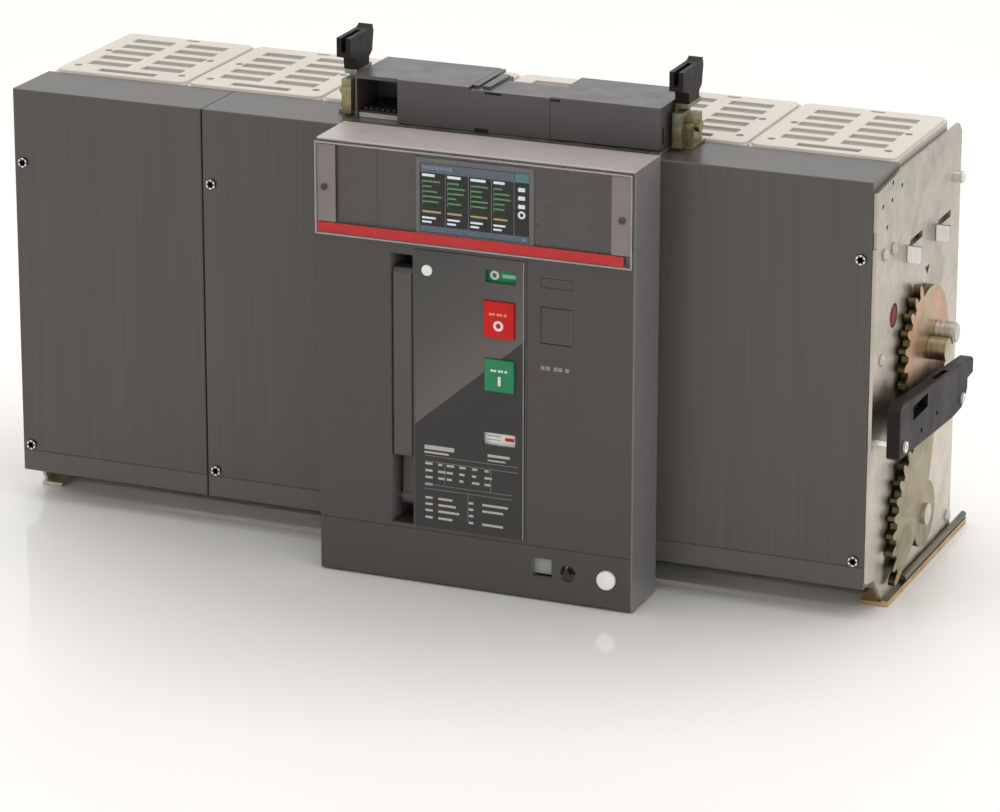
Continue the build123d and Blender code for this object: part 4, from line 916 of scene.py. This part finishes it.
def terminal_collars(finishes):
    """Raised collars round the terminals where they leave the pole units."""
    work = bmesh.new()
    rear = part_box("pole_unit_1")[1].y
    for node in ("upper_terminals", "lower_terminals"):
        for low, high in islands(node):
            if high.y > rear and high.x - low.x >= LEAST_TERMINAL:
                add_collar(work, low, high, rear)
    add_piece("terminal_collars", work, BODY, finishes["pole_moulding"])


def add_collar(work, low, high, rear):
    """Four bars round one terminal: below, above, left and right."""
    margin = COLLAR_GAP + COLLAR_WIDTH
    x0, x1 = low.x - margin, high.x + margin
    z0, z1 = low.z - margin, high.z + margin
    inner_z0, inner_z1 = z0 + COLLAR_WIDTH, z1 - COLLAR_WIDTH
    bars = ((x0, x1, z0, inner_z0), (x0, x1, inner_z1, z1),
            (x0, x0 + COLLAR_WIDTH, inner_z0, inner_z1), (x1 - COLLAR_WIDTH, x1, inner_z0, inner_z1))
    for left, right, bottom, top in bars:
        slab(work, (left, rear - 0.3 * MM, bottom), (right, rear + COLLAR_PROUD, top), 0.5 * MM)


def rear_screws(finishes):
    """Rounded screw heads near the corners and middle of each pole unit."""
    work = bmesh.new()
    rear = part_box("pole_unit_1")[1].y
    for number in range(1, 4):
        low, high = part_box(f"pole_unit_{number}")
        for x in (low.x + REAR_SCREW_INSET, (low.x + high.x) / 2, high.x - REAR_SCREW_INSET):
            for z in (low.z + REAR_SCREW_INSET, high.z - 4 * REAR_SCREW_INSET):
                turned(work, (x, rear - 0.5 * MM, z), 1, dome(2.2 * MM, 4.2 * MM))
    add_piece("pole_rear_screws", work, BODY, finishes["bright_steel"], smooth=True)


# ---- terminal boxes ----
LATCHES = ((47.0 * MM, 62.0 * MM), (104.5 * MM, 113.0 * MM))
LOWER_LATCH = (38.0 * MM, 50.0 * MM)
RIDGES = ((33.6 * MM, 38.6 * MM, 2.0 * MM), (42.0 * MM, 49.0 * MM, 18.0 * MM))


def terminal_details(finishes):
    """Latch slots, as black slabs of painted shade, and the two slide ridges on the wiring terminal boxes.
    """
    low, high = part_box("terminal_cover_left")
    latches = [(x0, x1, high.z - 4.4 * MM, high.z - 2.6 * MM) for x0, x1 in LATCHES]
    latches.append((*LOWER_LATCH, low.z + 0.2 * MM, low.z + 2.8 * MM))
    work = bmesh.new()
    # painted shade: thin black slabs stand for the recessed slots
    for x0, x1, z0, z1 in latches:
        slab(work, (x0, low.y - 0.1 * MM, z0), (x1, low.y + 0.6 * MM, z1), 0.6 * MM)
    add_piece("terminal_box_latch_slot_shade", work, BODY, finishes["black_plastic"])
    work = bmesh.new()
    for x0, x1, short in RIDGES:
        slab(work, (x0, low.y + 8.0 * MM, high.z - 2.4 * MM), (x1, high.y - short, high.z + 0.1 * MM),
             1.2 * MM, axis=2)
    add_piece("terminal_box_slide_ridges", work, BODY, finishes["box_plastic"])


# ---- stage ----
MIRROR_STRENGTH = 0.26
MIRROR_FULL = 0.24
MIRROR_GONE = 0.5
FLOOR_REACH = 14.0
FLOOR_DROP = 0.4 * MM


def make_floor():
    """Pale glossy floor whose mirror-like strength dies away from the object."""
    mesh = bpy.data.meshes.new("floor")
    corners = [(x * FLOOR_REACH, y * FLOOR_REACH, 0) for x, y in ((-1, -1), (1, -1), (1, 1), (-1, 1))]
    mesh.from_pydata(corners, [], [(0, 1, 2, 3)])
    floor = bpy.data.objects.new("floor", mesh)
    floor.location.z = -FLOOR_DROP
    bpy.context.scene.collection.objects.link(floor)
    made = Finish("floor_finish", Roughness=0.5)
    made.colour(made.ramp(made.noise(3.0), [(0.3, tone(244, 241, 237)), (0.7, tone(247, 244, 241))]))
    mirror = made.node("ShaderNodeBsdfGlossy", values={"Roughness": 0.02})
    distance = made.node("ShaderNodeVectorMath", {0: made.place}, operation="LENGTH").outputs["Value"]
    strength = made.spread(distance, MIRROR_STRENGTH, 0.0, MIRROR_FULL, MIRROR_GONE)
    blend = made.node("ShaderNodeMixShader", {0: strength, 1: made.shader.outputs[0],
                                              2: mirror.outputs[0]})
    surface = made.tree.nodes["Material Output"].inputs["Surface"]
    made.tree.links.new(blend.outputs[0], surface)
    mesh.materials.append(made.material)


def soft_light(name, spot, aim, size, power):
    data = bpy.data.lights.new(name, "AREA")
    data.shape = "RECTANGLE"
    data.size, data.size_y = size
    data.energy = power
    lamp = bpy.data.objects.new(name, data)
    lamp.location = spot
    lamp.rotation_euler = (Vector(spot) - Vector(aim)).to_track_quat("Z", "Y").to_euler()
    bpy.context.scene.collection.objects.link(lamp)


def make_light():
    scene = bpy.context.scene
    scene.view_settings.view_transform = "Standard"
    scene.world = bpy.data.worlds.new("studio")
    scene.world.use_nodes = True
    background = scene.world.node_tree.nodes["Background"]
    background.inputs["Color"].default_value = (1.0, 1.0, 1.0, 1.0)
    background.inputs["Strength"].default_value = 1.0
    soft_light("overhead", (0.2, 0.3, 2.6), (0.0, 0.0, 0.2), (2.4, 2.0), 18.0)


make_camera()
FINISHES = make_finishes()
dress_frame(FINISHES)
rating_table(FINISHES)
button_symbols(FINISHES)
flag_symbols(FINISHES)
shield_marks(FINISHES)
facia_edge(FINISHES)
display_content(FINISHES)
clear_cover_trim(FINISHES)
chute_louvres(FINISHES)
side_details(FINISHES)
terminal_collars(FINISHES)
rear_screws(FINISHES)
screw_details(FINISHES)
terminal_details(FINISHES)
make_floor()
make_light()
